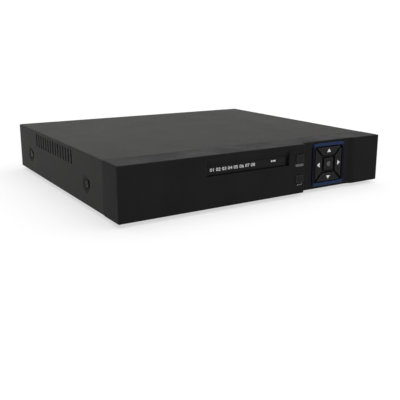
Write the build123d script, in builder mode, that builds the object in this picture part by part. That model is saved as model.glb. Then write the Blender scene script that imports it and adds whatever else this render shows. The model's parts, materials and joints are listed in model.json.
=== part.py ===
from build123d import *
from math import sqrt
import os

# Slim desktop video recorder: a steel tray with a side-vented steel cover, a deep moulded
# front bezel with seven push keys, and a rear panel of sockets on one main board.
# +X is the viewer's right when facing the front, the front faces -Y, +Z is up, sizes are in mm.
# The origin is under the middle of the recorder, on the surface that its feet stand on.

os.makedirs("parts", exist_ok=True)

# ---------------------------------------------------------------- driving dimensions
# Case
case_width = 255.0
case_depth = 229.0  # main front face to the back of the cover's rear lip
bezel_height = 41.0
bezel_depth = 24.5
foot_clearance = 3.0  # table to the underside of the bezel
bezel_drop = 0.7  # the bezel hangs this far below the steel
seam_gap = 0.4  # bezel's back edge to the steel cover
panel_gap = 0.3  # between parts that face each other without touching
tray_wall = 1.0
cover_wall = 0.8
cover_bend = 1.3
tray_bend = 1.2
flange_height = 24.0  # tray's side flanges, above the floor
front_wall_height = 33.0  # tray's front wall, above the floor
rear_return = 7.0  # tray's rear wall bends forwards by this much at its top
rear_lip = 6.0  # cover's lip, down over the rear wall

# Side vents and the dished screw seats
vent_count = 15
vent_pitch = 6.3
vent_width = 2.9
vent_length = 11.8
vent_corner = 0.9
vent_first = 87.3  # first vent behind the front face
vent_top_margin = 2.2  # top of the vents below the top of the cover
dish_radius = 7.4
dish_floor_radius = 3.4
dish_depth = 1.9
dish_places = (57.0, 195.0)  # behind the front face
dish_height = 17.0  # above the bezel's underside

# Front bezel
bezel_wall = 2.2
edge_round = 0.6
step_x = 38.6
step_draft = 0.4
pad_setback = 4.7
curve_start_x = 90.0
curve_end_x = 99.0
block_setback = 2.6

# Status window
window_left = -56.5
window_right = 22.2
window_bottom = 24.6  # above the bezel's underside
window_top = 32.0
window_slope_top = 37.6
window_depth = 2.6
window_plate = 1.5
window_rebate = 1.0
window_frame_wall = 1.4
plate_clearance = 0.1

# Key pad
pad_x = 69.1
pad_height = 20.5  # above the bezel's underside
ring_outer = 18.3  # half sides
ring_inner = 15.7
ring_proud = 1.0
ring_seat = 1.0
ring_corner = 3.4
ring_round = 0.6
pocket_half = 15.3
pocket_depth = 1.2
pocket_floor = 2.0
hole_outer = 14.9
hole_inner = 7.6
rib_half = 0.8
enter_hole_half = 5.2
key_clearance = 0.3
key_proud = 0.8
key_flange = 0.9  # flange beyond the sides of its key
flange_thickness = 1.0
key_round = 0.45
stem_radius = 1.6
direction_switch_offset = 10.8
key_travel = 0.5

# The two small keys beside the pad
small_key_x = 33.2
small_key_width = 8.0
small_key_tall = 6.4
menu_height = 29.4  # above the bezel's underside
exit_height = 12.5

# Key board, behind the bezel's face
board_wall = 1.6
switch_side = 6.0
switch_body = 3.5
plunger_radius = 1.7
plunger_out = 1.5
plunger_in = 2.1
running_clearance = 0.05  # bores round the plungers, pins and screws
key_board_depth = 15.0
key_board_left = -13.0
key_board_right = 97.5
key_board_bottom = 6.5
key_board_height = 31.0
key_board_screws = ((-8.5, 11.0), (44.5, 11.0), (44.5, 33.0), (93.5, 20.5))
boss_radius = 2.8
led_x = (7.8, 13.8, 19.0)
led_radius = 1.5
led_length = 5.0
receiver_x = -4.0
ribbon_x = 83.0
ribbon_width = 14.0
ribbon_wall = 1.0

# Fasteners
screw_radius = 1.5
screw_head_radius = 2.8
screw_head_height = 1.7
screw_clearance = 0.2
screw_length = 6.0
recess_depth = 0.9
bezel_screw_x = 112.0
bezel_screw_heights = (11.0, 30.0)  # above the bezel's underside

# Floor and rear vents
floor_vent_centre = (78.0, -20.0)
floor_vent_pitch = 8.0
floor_vent_count = 9
floor_vent_length = 40.0
floor_vent_width = 3.0
rear_vent_pitch = 5.0
rear_vent_count = 6
rear_vent_length = 5.0
rear_vent_width = 2.4
rear_vent_z = 33.0

# Feet
foot_radius = 7.0
foot_x = 104.0
foot_places = (46.0, 206.0)  # behind the front face

# Main board
standoff_height = 6.0
standoff_radius = 2.6
main_board_width = 226.0
main_board_deep = 84.0
board_hole_x = (-106.0, 0.0, 106.0)
board_hole_margin = 6.0  # front row of screws, from the board's front edge
board_hole_back_margin = 28.0  # back row, clear of the sockets
heatsink_place = (22.0, 34.0)  # x, and distance behind the board's front edge
heatsink_side = 40.0
heatsink_base = 3.0
heatsink_fin = 9.0
heatsink_fins = 9
processor_side = 25.0
processor_height = 2.2
cell_radius = 6.3
cell_height = 2.5
header_deep = 8.0
header_tall = 6.0
plug_length = 9.0
data_plug_wide = 11.0
power_plug_wide = 15.0

# Disk drive, standing on dished pads in the floor
drive_length = 147.0
drive_width = 101.6
drive_height = 26.1
drive_left = -119.0
drive_front = 31.0  # behind the front face
drive_lid = 1.2
drive_port_height = 6.5  # above the drive's underside
drive_port_deep = 8.0
drive_data_offset = 12.0  # from the drive's middle, towards the board
drive_power_offset = -14.0
data_cable_x = 50.0
power_cable_x = 64.0
data_cable_radius = 2.2
power_cable_radius = 2.6
cable_bend = 8.0
drive_pad_depth = 2.4
drive_pad_radius = 7.0
drive_pad_top_radius = 4.2
drive_hole_x = (41.3, 85.7)  # from the drive's back end
drive_hole_spacing = 95.25

# Rear sockets: places along X, heights above the main board's top face
bnc_x = (-100.0, -82.0, -64.0, -46.0)
bnc_height = 9.5
bnc_reach = 12.0  # barrel tip past the cover's rear lip
bnc_barrel = 4.8
bnc_bore = 4.05
bnc_thread = 6.1
bnc_insulator = 2.4
bnc_contact = 1.1
bnc_block = 14.0
bnc_thread_out = 4.0  # thread past the rear wall
bnc_nut = 7.2
bnc_nut_wall = 2.2
bnc_lug = 1.0
bnc_lug_back = 4.6  # lugs behind the barrel's tip
bnc_lug_reach = 5.7
bnc_lip = 1.8  # insulator below the barrel's tip
rca_x = (-24.0, -9.0)
rca_heights = (6.0, 19.5)
rca_sleeve = 4.15
rca_wall = 0.9
rca_bore = 1.7
rca_collar = 4.9
rca_collar_out = 1.0  # collar past the rear wall
rca_reach = 8.5
rca_block = 10.5
rca_block_deep = 13.0
vga_x = 19.0
vga_height = 6.8
vga_screw_spacing = 25.0
hdmi_x = 48.0
lan_x = 68.0
usb_x = 88.0
power_x = 107.0
power_wide = 9.4
power_tall = 11.5
hdmi_wide = 15.2
hdmi_tall = 6.0
lan_wide = 16.2
lan_tall = 13.6
usb_wide = 14.6
usb_tall = 16.2
hdmi_cavity = 9.5
usb_cavity = 12.0
lan_cavity = 13.0
power_bore = 3.1
power_cavity = 10.0
vga_wide = 16.9
vga_tall = 8.4
vga_plate = 0.8
vga_sheet = 0.5
vga_shell = 5.6
jackscrew_radius = 2.7
jackscrew_length = 5.0
jackscrew_shank = 1.5
jackscrew_bore = 1.15
jackscrew_thread = 4.0
socket_proud = 0.6  # sockets stand out of the rear panel by this much

# ---------------------------------------------------------------- derived places
half_width = case_width / 2
front_y = key_proud - (key_proud + case_depth + bnc_reach) / 2
rear_y = front_y + case_depth
bezel_z = foot_clearance
top_z = bezel_z + bezel_height
tray_z = bezel_z + bezel_drop
floor_z = tray_z + tray_wall
cover_under_z = top_z - cover_wall
cover_front_y = front_y + bezel_depth + seam_gap
tray_front_y = front_y + bezel_depth + panel_gap
panel_y = rear_y - cover_wall - panel_gap  # rear wall's outer face
panel_in_y = panel_y - tray_wall
tray_half = half_width - cover_wall - panel_gap
rear_wall_top = cover_under_z - panel_gap
flange_top = floor_z + flange_height
board_z = floor_z + standoff_height
board_top = board_z + board_wall
board_back_y = panel_in_y - 0.5
board_front_y = board_back_y - main_board_deep
pad_z = bezel_z + pad_height
dish_z = bezel_z + dish_height
dish_ys = [front_y + place for place in dish_places]
foot_spots = [(x, front_y + y) for x in (-foot_x, foot_x) for y in foot_places]
lip_screw_x = (-0.8 * tray_half, 0.0, 0.8 * tray_half)
lip_screw_z = cover_under_z - rear_lip / 2
drive_front_y = front_y + drive_front
drive_back_y = drive_front_y + drive_width
drive_right = drive_left + drive_length
drive_z = floor_z + drive_pad_depth
drive_mid_y = (drive_front_y + drive_back_y) / 2
drive_holes = [
    (drive_right - x, drive_mid_y + side * drive_hole_spacing / 2)
    for x in drive_hole_x
    for side in (-1, 1)
]
board_holes = [
    (x, y)
    for x in board_hole_x
    for y in (board_front_y + board_hole_margin, board_back_y - board_hole_back_margin)
]
vent_middle_y = front_y + vent_first + vent_pitch * (vent_count - 1) / 2
small_key_spots = [(small_key_x, bezel_z + menu_height), (small_key_x, bezel_z + exit_height)]
ribbon_z = board_top + 4
bnc_z = board_top + bnc_height
bnc_spots = [(x, bnc_z) for x in bnc_x]
rca_spots = [(x, board_top + height) for x in rca_x for height in rca_heights]
vga_z = board_top + vga_height
vga_screw_spots = [(vga_x + side * vga_screw_spacing / 2, vga_z) for side in (-1, 1)]
socket_sizes = (
    (hdmi_x, hdmi_wide, hdmi_tall),
    (lan_x, lan_wide, lan_tall),
    (usb_x, usb_wide, usb_tall),
    (power_x, power_wide, power_tall),
)
socket_front_y = panel_y + socket_proud
housing_y = panel_in_y - panel_gap  # back faces of the blocks behind the rear wall
data_port_y = drive_mid_y + drive_data_offset
power_port_y = drive_mid_y + drive_power_offset
drive_port_z = drive_z + drive_port_height
rear_vent_centres = [(-73.0, rear_vent_z), (46.0, rear_vent_z), (88.0, rear_vent_z)]


def facing(depth):
    """Plane seen from the front, depth behind the main front face: local x is X, local y is Z."""
    return Plane.XZ.offset(-(front_y + depth))


def at_y(y):
    """Plane seen from the front at y: extruding by a negative amount goes backwards."""
    return Plane.XZ.offset(-y)


def bezel_plan(back):
    """Plan of the bezel from its stepped front faces to back, measured behind the main face."""
    pad_y = front_y + pad_setback
    block_y = front_y + block_setback
    mid_curve = ((curve_start_x + curve_end_x) / 2, (pad_y + block_y) / 2)
    with BuildSketch() as plan:
        with BuildLine():
            Polyline(
                (-half_width, front_y + back),
                (-half_width, front_y),
                (step_x, front_y),
                (step_x + step_draft, pad_y),
                (curve_start_x, pad_y),
            )
            TangentArc((curve_start_x, pad_y), mid_curve, tangent=(1, 0))
            TangentArc((curve_end_x, block_y), mid_curve, tangent=(-1, 0))
            Polyline(
                (curve_end_x, block_y),
                (half_width, block_y),
                (half_width, front_y + back),
                (-half_width, front_y + back),
            )
        make_face()
    return plan.sketch


def pad_trapezoid(growth):
    """A direction key's outline, above the pad's centre, each side moved out by growth."""
    outer = hole_outer + growth
    inner = hole_inner - growth
    diagonal = (rib_half - growth) * sqrt(2)
    with BuildSketch() as outline:
        Polygon(
            (-(outer - diagonal), outer),
            (-(inner - diagonal), inner),
            (inner - diagonal, inner),
            (outer - diagonal, outer),
            align=None,
        )
        fillet(outline.vertices(), 0.35)
    return outline.sketch




def pressed_dish(outer, wall, rim, bottom, depth, hole):
    """Dish pressed into a sheet, with a hole in its floor: outer lies on the sheet, facing in."""
    base = (Align.CENTER, Align.CENTER, Align.MIN)
    lap = wall / 8
    with Locations(outer.offset(wall - lap)):
        Cone(rim, bottom, depth + lap, align=base)
    with Locations(outer):
        Cone(rim, bottom, depth, align=base, mode=Mode.SUBTRACT)
        Cylinder(hole, 2 * (wall + depth), mode=Mode.SUBTRACT)


def box_between(low, high, mode=Mode.ADD):
    """Box from its low corner to its high corner."""
    size = [b - a for a, b in zip(low, high)]
    with Locations(tuple((a + b) / 2 for a, b in zip(low, high))):
        Box(*size, mode=mode)


# ---------------------------------------------------------------- fasteners
with BuildPart() as pan_screw:
    with BuildSketch(Plane.XY):
        Circle(screw_head_radius)
    extrude(amount=screw_head_height)
    fillet(pan_screw.faces().sort_by(Axis.Z)[-1].edges(), 0.55 * screw_head_height)
    with BuildSketch(Plane.XY.offset(screw_head_height)):
        Rectangle(1.1 * screw_head_radius, 0.24 * screw_head_radius)
        Rectangle(0.24 * screw_head_radius, 1.1 * screw_head_radius)
    extrude(amount=-recess_depth, mode=Mode.SUBTRACT)
    with BuildSketch(Plane.XY):
        Circle(screw_radius)
    extrude(amount=-screw_length)

side_seats = [
    Plane(origin=(side * (half_width - dish_depth), y, dish_z), z_dir=(side, 0, 0))
    for side in (-1, 1)
    for y in dish_ys
]
lip_seats = [Plane(origin=(x, rear_y, lip_screw_z), z_dir=(0, 1, 0)) for x in lip_screw_x]
with BuildPart() as cover_screws:
    with Locations(*side_seats, *lip_seats):
        add(pan_screw.part)
cover_screws.part.label = "cover_screws"
export_step(cover_screws.part, "parts/cover_screws.step")

bezel_screw_spots = [
    (side * bezel_screw_x, bezel_z + height) for side in (-1, 1) for height in bezel_screw_heights
]
with BuildPart() as bezel_screws:
    with Locations(
        *[
            Plane(origin=(x, tray_front_y + tray_wall, z), z_dir=(0, 1, 0))
            for x, z in bezel_screw_spots
        ]
    ):
        add(pan_screw.part)
bezel_screws.part.label = "bezel_screws"
export_step(bezel_screws.part, "parts/bezel_screws.step")

key_board_back_y = front_y + key_board_depth + board_wall
with BuildPart() as keypad_board_screws:
    with Locations(
        *[
            Plane(origin=(x, key_board_back_y, bezel_z + height), z_dir=(0, 1, 0))
            for x, height in key_board_screws
        ]
    ):
        add(pan_screw.part)
keypad_board_screws.part.label = "keypad_board_screws"
export_step(keypad_board_screws.part, "parts/keypad_board_screws.step")

with BuildPart() as main_board_screws:
    with Locations(*[Plane(origin=(x, y, board_top)) for x, y in board_holes]):
        add(pan_screw.part)
main_board_screws.part.label = "main_board_screws"
export_step(main_board_screws.part, "parts/main_board_screws.step")

with BuildPart() as drive_screws:
    with Locations(
        *[Plane(origin=(x, y, tray_z + drive_pad_depth), z_dir=(0, 0, -1)) for x, y in drive_holes]
    ):
        add(pan_screw.part)
drive_screws.part.label = "drive_screws"
export_step(drive_screws.part, "parts/drive_screws.step")

# ---------------------------------------------------------------- steel tray
with BuildPart() as base_tray:
    with BuildSketch(Plane.XY.offset(tray_z)):
        with Locations((0, (tray_front_y + panel_y) / 2)):
            Rectangle(2 * tray_half, panel_y - tray_front_y)
    extrude(amount=rear_wall_top - tray_z)
    fillet(base_tray.faces().sort_by(Axis.Z)[0].edges(), tray_bend)
    with BuildSketch(Plane.XY.offset(floor_z)):
        with Locations((0, (tray_front_y + panel_y) / 2)):
            Rectangle(2 * (tray_half - tray_wall), panel_y - tray_front_y - 2 * tray_wall)
    extrude(amount=rear_wall_top - floor_z, mode=Mode.SUBTRACT)
    # the side flanges and the front wall are lower than the rear wall
    box_between(
        (-tray_half, tray_front_y + tray_wall, flange_top),
        (tray_half, panel_in_y, rear_wall_top),
        mode=Mode.SUBTRACT,
    )
    box_between(
        (-tray_half, tray_front_y, floor_z + front_wall_height),
        (tray_half, tray_front_y + tray_wall, rear_wall_top),
        mode=Mode.SUBTRACT,
    )
    # return flange along the top of the rear wall
    box_between(
        (-tray_half + 2 * tray_wall, panel_in_y - rear_return, rear_wall_top - tray_wall),
        (tray_half - 2 * tray_wall, panel_in_y, rear_wall_top),
    )
    # dished seats nest inside the cover's, and take the side screws
    for y in dish_ys:
        for side in (-1, 1):
            flange = Plane(origin=(side * tray_half, y, dish_z), z_dir=(-side, 0, 0))
            pressed_dish(
                flange,
                tray_wall,
                dish_radius,
                dish_floor_radius,
                dish_depth,
                screw_radius + running_clearance,
            )
    # dished pads carry the disk drive and hide its screws' heads
    for x, y in drive_holes:
        pressed_dish(
            Plane(origin=(x, y, tray_z)),
            tray_wall,
            drive_pad_radius,
            drive_pad_top_radius,
            drive_pad_depth,
            screw_radius + screw_clearance,
        )
    # floor vents
    with BuildSketch(Plane.XY.offset(tray_z)):
        with Locations(floor_vent_centre):
            with GridLocations(floor_vent_pitch, 0, floor_vent_count, 1):
                SlotOverall(floor_vent_length, floor_vent_width, rotation=90)
    extrude(amount=tray_wall, mode=Mode.SUBTRACT)
    # rear wall: screw holes, sockets
    with BuildSketch(at_y(panel_y)):
        with Locations(*[(x, lip_screw_z) for x in lip_screw_x]):
            Circle(screw_radius + running_clearance)
        with Locations(*bnc_spots):
            Circle(bnc_thread + panel_gap)
        with Locations(*rca_spots):
            Circle(rca_collar + panel_gap)
        with Locations((vga_x, vga_z)):
            Rectangle(vga_wide + 4 * panel_gap, vga_tall + 4 * panel_gap)
        with Locations(*vga_screw_spots):
            Circle(jackscrew_shank + panel_gap)
        for x, wide, tall in socket_sizes:
            with Locations((x, board_top + tall / 2)):
                Rectangle(wide + 2 * panel_gap, tall + 2 * panel_gap)
        with Locations(*rear_vent_centres):
            with GridLocations(rear_vent_pitch, 0, rear_vent_count, 1):
                SlotOverall(rear_vent_length, rear_vent_width, rotation=90)
    extrude(amount=tray_wall, mode=Mode.SUBTRACT)
    # front wall: bezel screws, opening for the key board's ribbon
    with BuildSketch(at_y(tray_front_y + tray_wall)):
        with Locations(*bezel_screw_spots):
            Circle(screw_radius + screw_clearance)
        with Locations((ribbon_x, ribbon_z)):
            Rectangle(ribbon_width + 8, 12)
    extrude(amount=tray_wall, mode=Mode.SUBTRACT)
base_tray.part.label = "base_tray"
export_step(base_tray.part, "parts/base_tray.step")

# ---------------------------------------------------------------- steel cover
with BuildPart() as top_cover:
    with BuildSketch(at_y(rear_y)) as cover_section:
        with Locations((0, (tray_z + top_z) / 2)):
            Rectangle(case_width, top_z - tray_z)
        fillet(cover_section.vertices().group_by(Axis.Y)[-1], cover_bend)
        with BuildSketch(mode=Mode.SUBTRACT) as cover_hollow:
            with Locations((0, (tray_z + cover_under_z) / 2)):
                Rectangle(case_width - 2 * cover_wall, cover_under_z - tray_z)
            fillet(cover_hollow.vertices().group_by(Axis.Y)[-1], cover_bend - cover_wall)
    extrude(amount=rear_y - cover_front_y)
    # rear lip
    box_between(
        (-half_width + cover_wall, rear_y - cover_wall, cover_under_z - rear_lip),
        (half_width - cover_wall, rear_y, cover_under_z + cover_wall / 2),
    )
    fillet(top_cover.edges().filter_by(Axis.X).group_by(Axis.Z)[-1].sort_by(Axis.Y)[-1], 0.8)
    for side in (-1, 1):
        with BuildSketch(Plane.YZ.offset(side * half_width)):
            with Locations((vent_middle_y, top_z - vent_top_margin - vent_length / 2)):
                with GridLocations(vent_pitch, 0, vent_count, 1):
                    RectangleRounded(vent_width, vent_length, vent_corner)
        extrude(amount=-side * cover_wall, mode=Mode.SUBTRACT)
        for y in dish_ys:
            pressed_dish(
                Plane(origin=(side * half_width, y, dish_z), z_dir=(-side, 0, 0)),
                cover_wall,
                dish_radius,
                dish_floor_radius,
                dish_depth,
                screw_radius + screw_clearance,
            )
    with BuildSketch(at_y(rear_y)):
        with Locations(*[(x, lip_screw_z) for x in lip_screw_x]):
            Circle(screw_radius + screw_clearance)
    extrude(amount=cover_wall, mode=Mode.SUBTRACT)
top_cover.part.label = "top_cover"
export_step(top_cover.part, "parts/top_cover.step")

# ---------------------------------------------------------------- front bezel
window_mid = ((window_left + window_right) / 2, bezel_z + (window_bottom + window_top) / 2)
window_wide = window_right - window_left
window_tall = window_top - window_bottom
rebate_depth = window_depth + window_plate
frame_back = rebate_depth + window_frame_wall
pad_back = pad_setback + pocket_depth + pocket_floor
with BuildPart() as front_bezel:
    with BuildSketch(Plane.XY.offset(bezel_z)):
        add(bezel_plan(bezel_depth))
    extrude(amount=bezel_height)
    back_face = front_bezel.faces().sort_by(Axis.Y)[-1]
    rims = front_bezel.faces().filter_by(Axis.Z).edges() - back_face.edges()
    corners = front_bezel.edges().filter_by(Axis.Z).filter_by_position(
        Axis.Y, front_y, front_y + block_setback
    )
    fillet(rims + corners, edge_round)
    with BuildSketch(Plane.XY.offset(bezel_z + bezel_wall)):
        add(bezel_plan(bezel_depth + 2 * bezel_wall))
        offset(amount=-bezel_wall, kind=Kind.INTERSECTION)
    extrude(amount=bezel_height - 2 * bezel_wall, mode=Mode.SUBTRACT)
    # window frame, with its sloped lintel, rebate and opening
    box_between(
        (window_left - 2, front_y + bezel_wall / 2, bezel_z + window_bottom - 2),
        (window_right + 2, front_y + frame_back, top_z - bezel_wall / 2),
    )
    with BuildSketch(Plane.YZ.offset(window_left)):
        Polygon(
            (front_y - 1, bezel_z + window_bottom),
            (front_y + window_depth, bezel_z + window_bottom),
            (front_y + window_depth, bezel_z + window_top),
            (front_y, bezel_z + window_slope_top),
            (front_y - 1, bezel_z + window_slope_top),
            align=None,
        )
    extrude(amount=window_wide, mode=Mode.SUBTRACT)
    with BuildSketch(facing(window_depth)):
        with Locations(window_mid):
            Rectangle(window_wide, window_tall)
    extrude(amount=-window_plate, mode=Mode.SUBTRACT)
    with BuildSketch(facing(rebate_depth)):
        with Locations(window_mid):
            Rectangle(window_wide - 2 * window_rebate, window_tall - 2 * window_rebate)
    extrude(amount=-window_frame_wall, mode=Mode.SUBTRACT)
    # key pad: seat for the ring, pocket, ribs between five key holes
    box_between(
        (pad_x - ring_outer - 1, front_y + pad_setback + bezel_wall / 2, bezel_z + bezel_wall / 2),
        (pad_x + ring_outer + 1, front_y + pad_back, top_z - bezel_wall / 2),
    )
    with BuildSketch(facing(pad_setback)):
        with Locations((pad_x, pad_z)):
            RectangleRounded(
                2 * (ring_outer + plate_clearance), 2 * (ring_outer + plate_clearance), ring_corner
            )
    extrude(amount=-ring_seat, mode=Mode.SUBTRACT)
    with BuildSketch(facing(pad_setback)):
        with Locations((pad_x, pad_z)):
            RectangleRounded(2 * pocket_half, 2 * pocket_half, 1)
    extrude(amount=-pocket_depth, mode=Mode.SUBTRACT)
    with BuildSketch(facing(pad_setback + pocket_depth)):
        with Locations((pad_x, pad_z)):
            RectangleRounded(2 * enter_hole_half, 2 * enter_hole_half, 0.8)
            with PolarLocations(0, 4):
                add(pad_trapezoid(0))
    extrude(amount=-pocket_floor, mode=Mode.SUBTRACT)
    # small key holes, cut deep enough to clear the inside of the step
    with BuildSketch(facing(0)):
        with Locations(*small_key_spots):
            RectangleRounded(
                small_key_width + 2 * key_clearance, small_key_tall + 2 * key_clearance, 0.8
            )
    extrude(amount=-key_board_depth + switch_body, mode=Mode.SUBTRACT)
    # bosses for the key board and for the screws through the tray's front wall
    for x, height in key_board_screws:
        wall_depth = (0 if x < step_x else pad_setback) + bezel_wall / 2
        with BuildSketch(facing(key_board_depth)):
            with Locations((x, bezel_z + height)):
                Circle(boss_radius)
        extrude(amount=key_board_depth - wall_depth)
    for x, z in bezel_screw_spots:
        wall_depth = (0 if x < step_x else block_setback) + bezel_wall / 2
        with BuildSketch(facing(bezel_depth + panel_gap)):
            with Locations((x, z)):
                Circle(boss_radius)
        extrude(amount=bezel_depth + panel_gap - wall_depth)
    with BuildSketch(facing(key_board_depth)):
        with Locations(*[(x, bezel_z + height) for x, height in key_board_screws]):
            Circle(screw_radius + running_clearance)
    extrude(amount=screw_length, mode=Mode.SUBTRACT)
    with BuildSketch(facing(bezel_depth + panel_gap)):
        with Locations(*bezel_screw_spots):
            Circle(screw_radius + running_clearance)
    extrude(amount=screw_length, mode=Mode.SUBTRACT)
front_bezel.part.label = "front_bezel"
export_step(front_bezel.part, "parts/front_bezel.step")

with BuildPart() as status_window:
    with BuildSketch(facing(rebate_depth)):
        with Locations(window_mid):
            Rectangle(window_wide - 2 * plate_clearance, window_tall - 2 * plate_clearance)
    extrude(amount=window_plate)
status_window.part.label = "status_window"
export_step(status_window.part, "parts/status_window.step")

with BuildPart() as pad_ring:
    with BuildSketch(facing(pad_setback + ring_seat)):
        with Locations((pad_x, pad_z)):
            RectangleRounded(2 * ring_outer, 2 * ring_outer, ring_corner)
            RectangleRounded(2 * ring_inner, 2 * ring_inner, 1.6, mode=Mode.SUBTRACT)
    extrude(amount=ring_seat + ring_proud)
    fillet(pad_ring.faces().sort_by(Axis.Y)[0].edges(), ring_round)
pad_ring.part.label = "pad_ring"
export_step(pad_ring.part, "parts/pad_ring.step")

# ---------------------------------------------------------------- push keys
flange_depth = pad_back + key_clearance
plunger_depth = key_board_depth - switch_body - plunger_out
direction_turn = {"up": 0, "left": 90, "down": 180, "right": 270}
switch_spots = {"enter": (pad_x, pad_z)}
for name, turn in direction_turn.items():
    across = {0: (0, 1), 90: (-1, 0), 180: (0, -1), 270: (1, 0)}[turn]
    switch_spots[name] = (
        pad_x + across[0] * direction_switch_offset,
        pad_z + across[1] * direction_switch_offset,
    )
switch_spots["menu"], switch_spots["exit"] = small_key_spots

for name, turn in direction_turn.items():
    place = Location((pad_x, pad_z, 0), (0, 0, turn))
    with BuildPart() as direction_key:
        with BuildSketch(facing(pad_setback - key_proud)):
            with Locations(place):
                add(pad_trapezoid(-key_clearance))
        extrude(amount=-(flange_depth - pad_setback + key_proud))
        fillet(direction_key.faces().sort_by(Axis.Y)[0].edges(), key_round)
        with BuildSketch(facing(flange_depth)):
            with Locations(place):
                add(pad_trapezoid(key_flange - key_clearance))
        extrude(amount=-flange_thickness)
        with BuildSketch(facing(flange_depth + flange_thickness)):
            with Locations(switch_spots[name]):
                Circle(stem_radius)
        extrude(amount=-(plunger_depth - flange_depth - flange_thickness))
    direction_key.part.label = f"{name}_key"
    export_step(direction_key.part, f"parts/{name}_key.step")

with BuildPart() as enter_key:
    with BuildSketch(facing(pad_setback - key_proud)):
        with Locations((pad_x, pad_z)):
            side = 2 * (enter_hole_half - key_clearance)
            RectangleRounded(side, side, 0.8)
    extrude(amount=-(flange_depth - pad_setback + key_proud))
    fillet(enter_key.faces().sort_by(Axis.Y)[0].edges(), key_round)
    with BuildSketch(facing(flange_depth)):
        with Locations((pad_x, pad_z)):
            side = 2 * (enter_hole_half - key_clearance + key_flange)
            RectangleRounded(side, side, 0.8)
    extrude(amount=-flange_thickness)
    with BuildSketch(facing(flange_depth + flange_thickness)):
        with Locations((pad_x, pad_z)):
            Circle(stem_radius)
    extrude(amount=-(plunger_depth - flange_depth - flange_thickness))
enter_key.part.label = "enter_key"
export_step(enter_key.part, "parts/enter_key.step")

# the small keys have no flange on the side of the step
small_flange_depth = bezel_wall + key_clearance
for name, spot in zip(("menu", "exit"), small_key_spots):
    with BuildPart() as small_key:
        with BuildSketch(facing(-key_proud)):
            with Locations(spot):
                RectangleRounded(small_key_width, small_key_tall, 0.7)
        extrude(amount=-(small_flange_depth + key_proud))
        fillet(small_key.faces().sort_by(Axis.Y)[0].edges(), key_round)
        box_between(
            (
                spot[0] - small_key_width / 2 - key_flange,
                front_y + small_flange_depth,
                spot[1] - small_key_tall / 2 - key_flange,
            ),
            (
                step_x - bezel_wall - key_clearance,
                front_y + small_flange_depth + flange_thickness,
                spot[1] + small_key_tall / 2 + key_flange,
            ),
        )
        with BuildSketch(facing(small_flange_depth + flange_thickness)):
            with Locations(spot):
                Circle(stem_radius)
        extrude(amount=-(plunger_depth - small_flange_depth - flange_thickness))
    small_key.part.label = f"{name}_key"
    export_step(small_key.part, f"parts/{name}_key.step")

for name, spot in switch_spots.items():
    with BuildPart() as plunger:
        with BuildSketch(facing(plunger_depth)):
            with Locations(spot):
                Circle(plunger_radius)
        extrude(amount=-(plunger_out + plunger_in))
    plunger.part.label = f"{name}_plunger"
    export_step(plunger.part, f"parts/{name}_plunger.step")

# ---------------------------------------------------------------- key board
with BuildPart() as switch_bodies:
    with BuildSketch(facing(key_board_depth)):
        with Locations(*switch_spots.values()):
            RectangleRounded(switch_side, switch_side, 0.5)
    extrude(amount=switch_body)
    with BuildSketch(facing(key_board_depth - switch_body)):
        with Locations(*switch_spots.values()):
            Circle(plunger_radius + running_clearance)
    extrude(amount=-(plunger_in + key_travel + running_clearance), mode=Mode.SUBTRACT)
switch_bodies.part.label = "switch_bodies"
export_step(switch_bodies.part, "parts/switch_bodies.step")

key_board_low = bezel_z + key_board_bottom
with BuildPart() as keypad_board:
    box_between(
        (key_board_left, front_y + key_board_depth, key_board_low),
        (key_board_right, key_board_back_y, key_board_low + key_board_height),
    )
    with BuildSketch(facing(key_board_depth)):
        with Locations(*[(x, bezel_z + height) for x, height in key_board_screws]):
            Circle(screw_radius + screw_clearance)
    extrude(amount=-board_wall, mode=Mode.SUBTRACT)
keypad_board.part.label = "keypad_board"
export_step(keypad_board.part, "parts/keypad_board.step")

led_front = frame_back + panel_gap
with BuildPart() as status_leds:
    with BuildSketch(facing(led_front + led_length)):
        with Locations(*[(x, window_mid[1]) for x in led_x]):
            Circle(led_radius)
    extrude(amount=led_length)
    fillet(status_leds.faces().sort_by(Axis.Y).group_by(Axis.Y)[0].edges(), 0.8 * led_radius)
    with BuildSketch(facing(led_front + led_length)):
        with Locations(*[(x, window_mid[1]) for x in led_x]):
            Circle(1.2 * led_radius)
    extrude(amount=1)
    with BuildSketch(facing(key_board_depth)):
        with Locations(*[(x, window_mid[1]) for x in led_x]):
            with GridLocations(1.27, 0, 2, 1):
                Rectangle(0.5, 0.5)
    extrude(amount=key_board_depth - led_front - led_length)
status_leds.part.label = "status_leds"
export_step(status_leds.part, "parts/status_leds.step")

with BuildPart() as ir_receiver:
    with BuildSketch(facing(led_front + 5)):
        with Locations((receiver_x, window_mid[1])):
            Rectangle(6, 7)
    extrude(amount=3.5)
    with Locations((receiver_x, front_y + led_front + 1.5, window_mid[1] + 0.8)):
        Sphere(2)
    split(bisect_by=facing(led_front), keep=Keep.BOTTOM)
    with BuildSketch(facing(key_board_depth)):
        with Locations((receiver_x, window_mid[1])):
            with GridLocations(2.54, 0, 3, 1):
                Rectangle(0.5, 0.5)
    extrude(amount=key_board_depth - led_front - 5)
ir_receiver.part.label = "ir_receiver"
export_step(ir_receiver.part, "parts/ir_receiver.step")

# ---------------------------------------------------------------- feet and main board
with BuildPart() as rubber_feet:
    for x, y in foot_spots:
        with BuildSketch(Plane.XY.offset(tray_z)):
            with Locations((x, y)):
                Circle(foot_radius)
        extrude(amount=-tray_z, taper=8)
    fillet(rubber_feet.faces().sort_by(Axis.Z).group_by(Axis.Z)[0].edges(), 0.6)
    with BuildSketch(Plane.XY):
        with Locations(*foot_spots):
            Circle(0.35 * foot_radius)
    extrude(amount=0.3 * tray_z, mode=Mode.SUBTRACT)
rubber_feet.part.label = "rubber_feet"
export_step(rubber_feet.part, "parts/rubber_feet.step")

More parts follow.
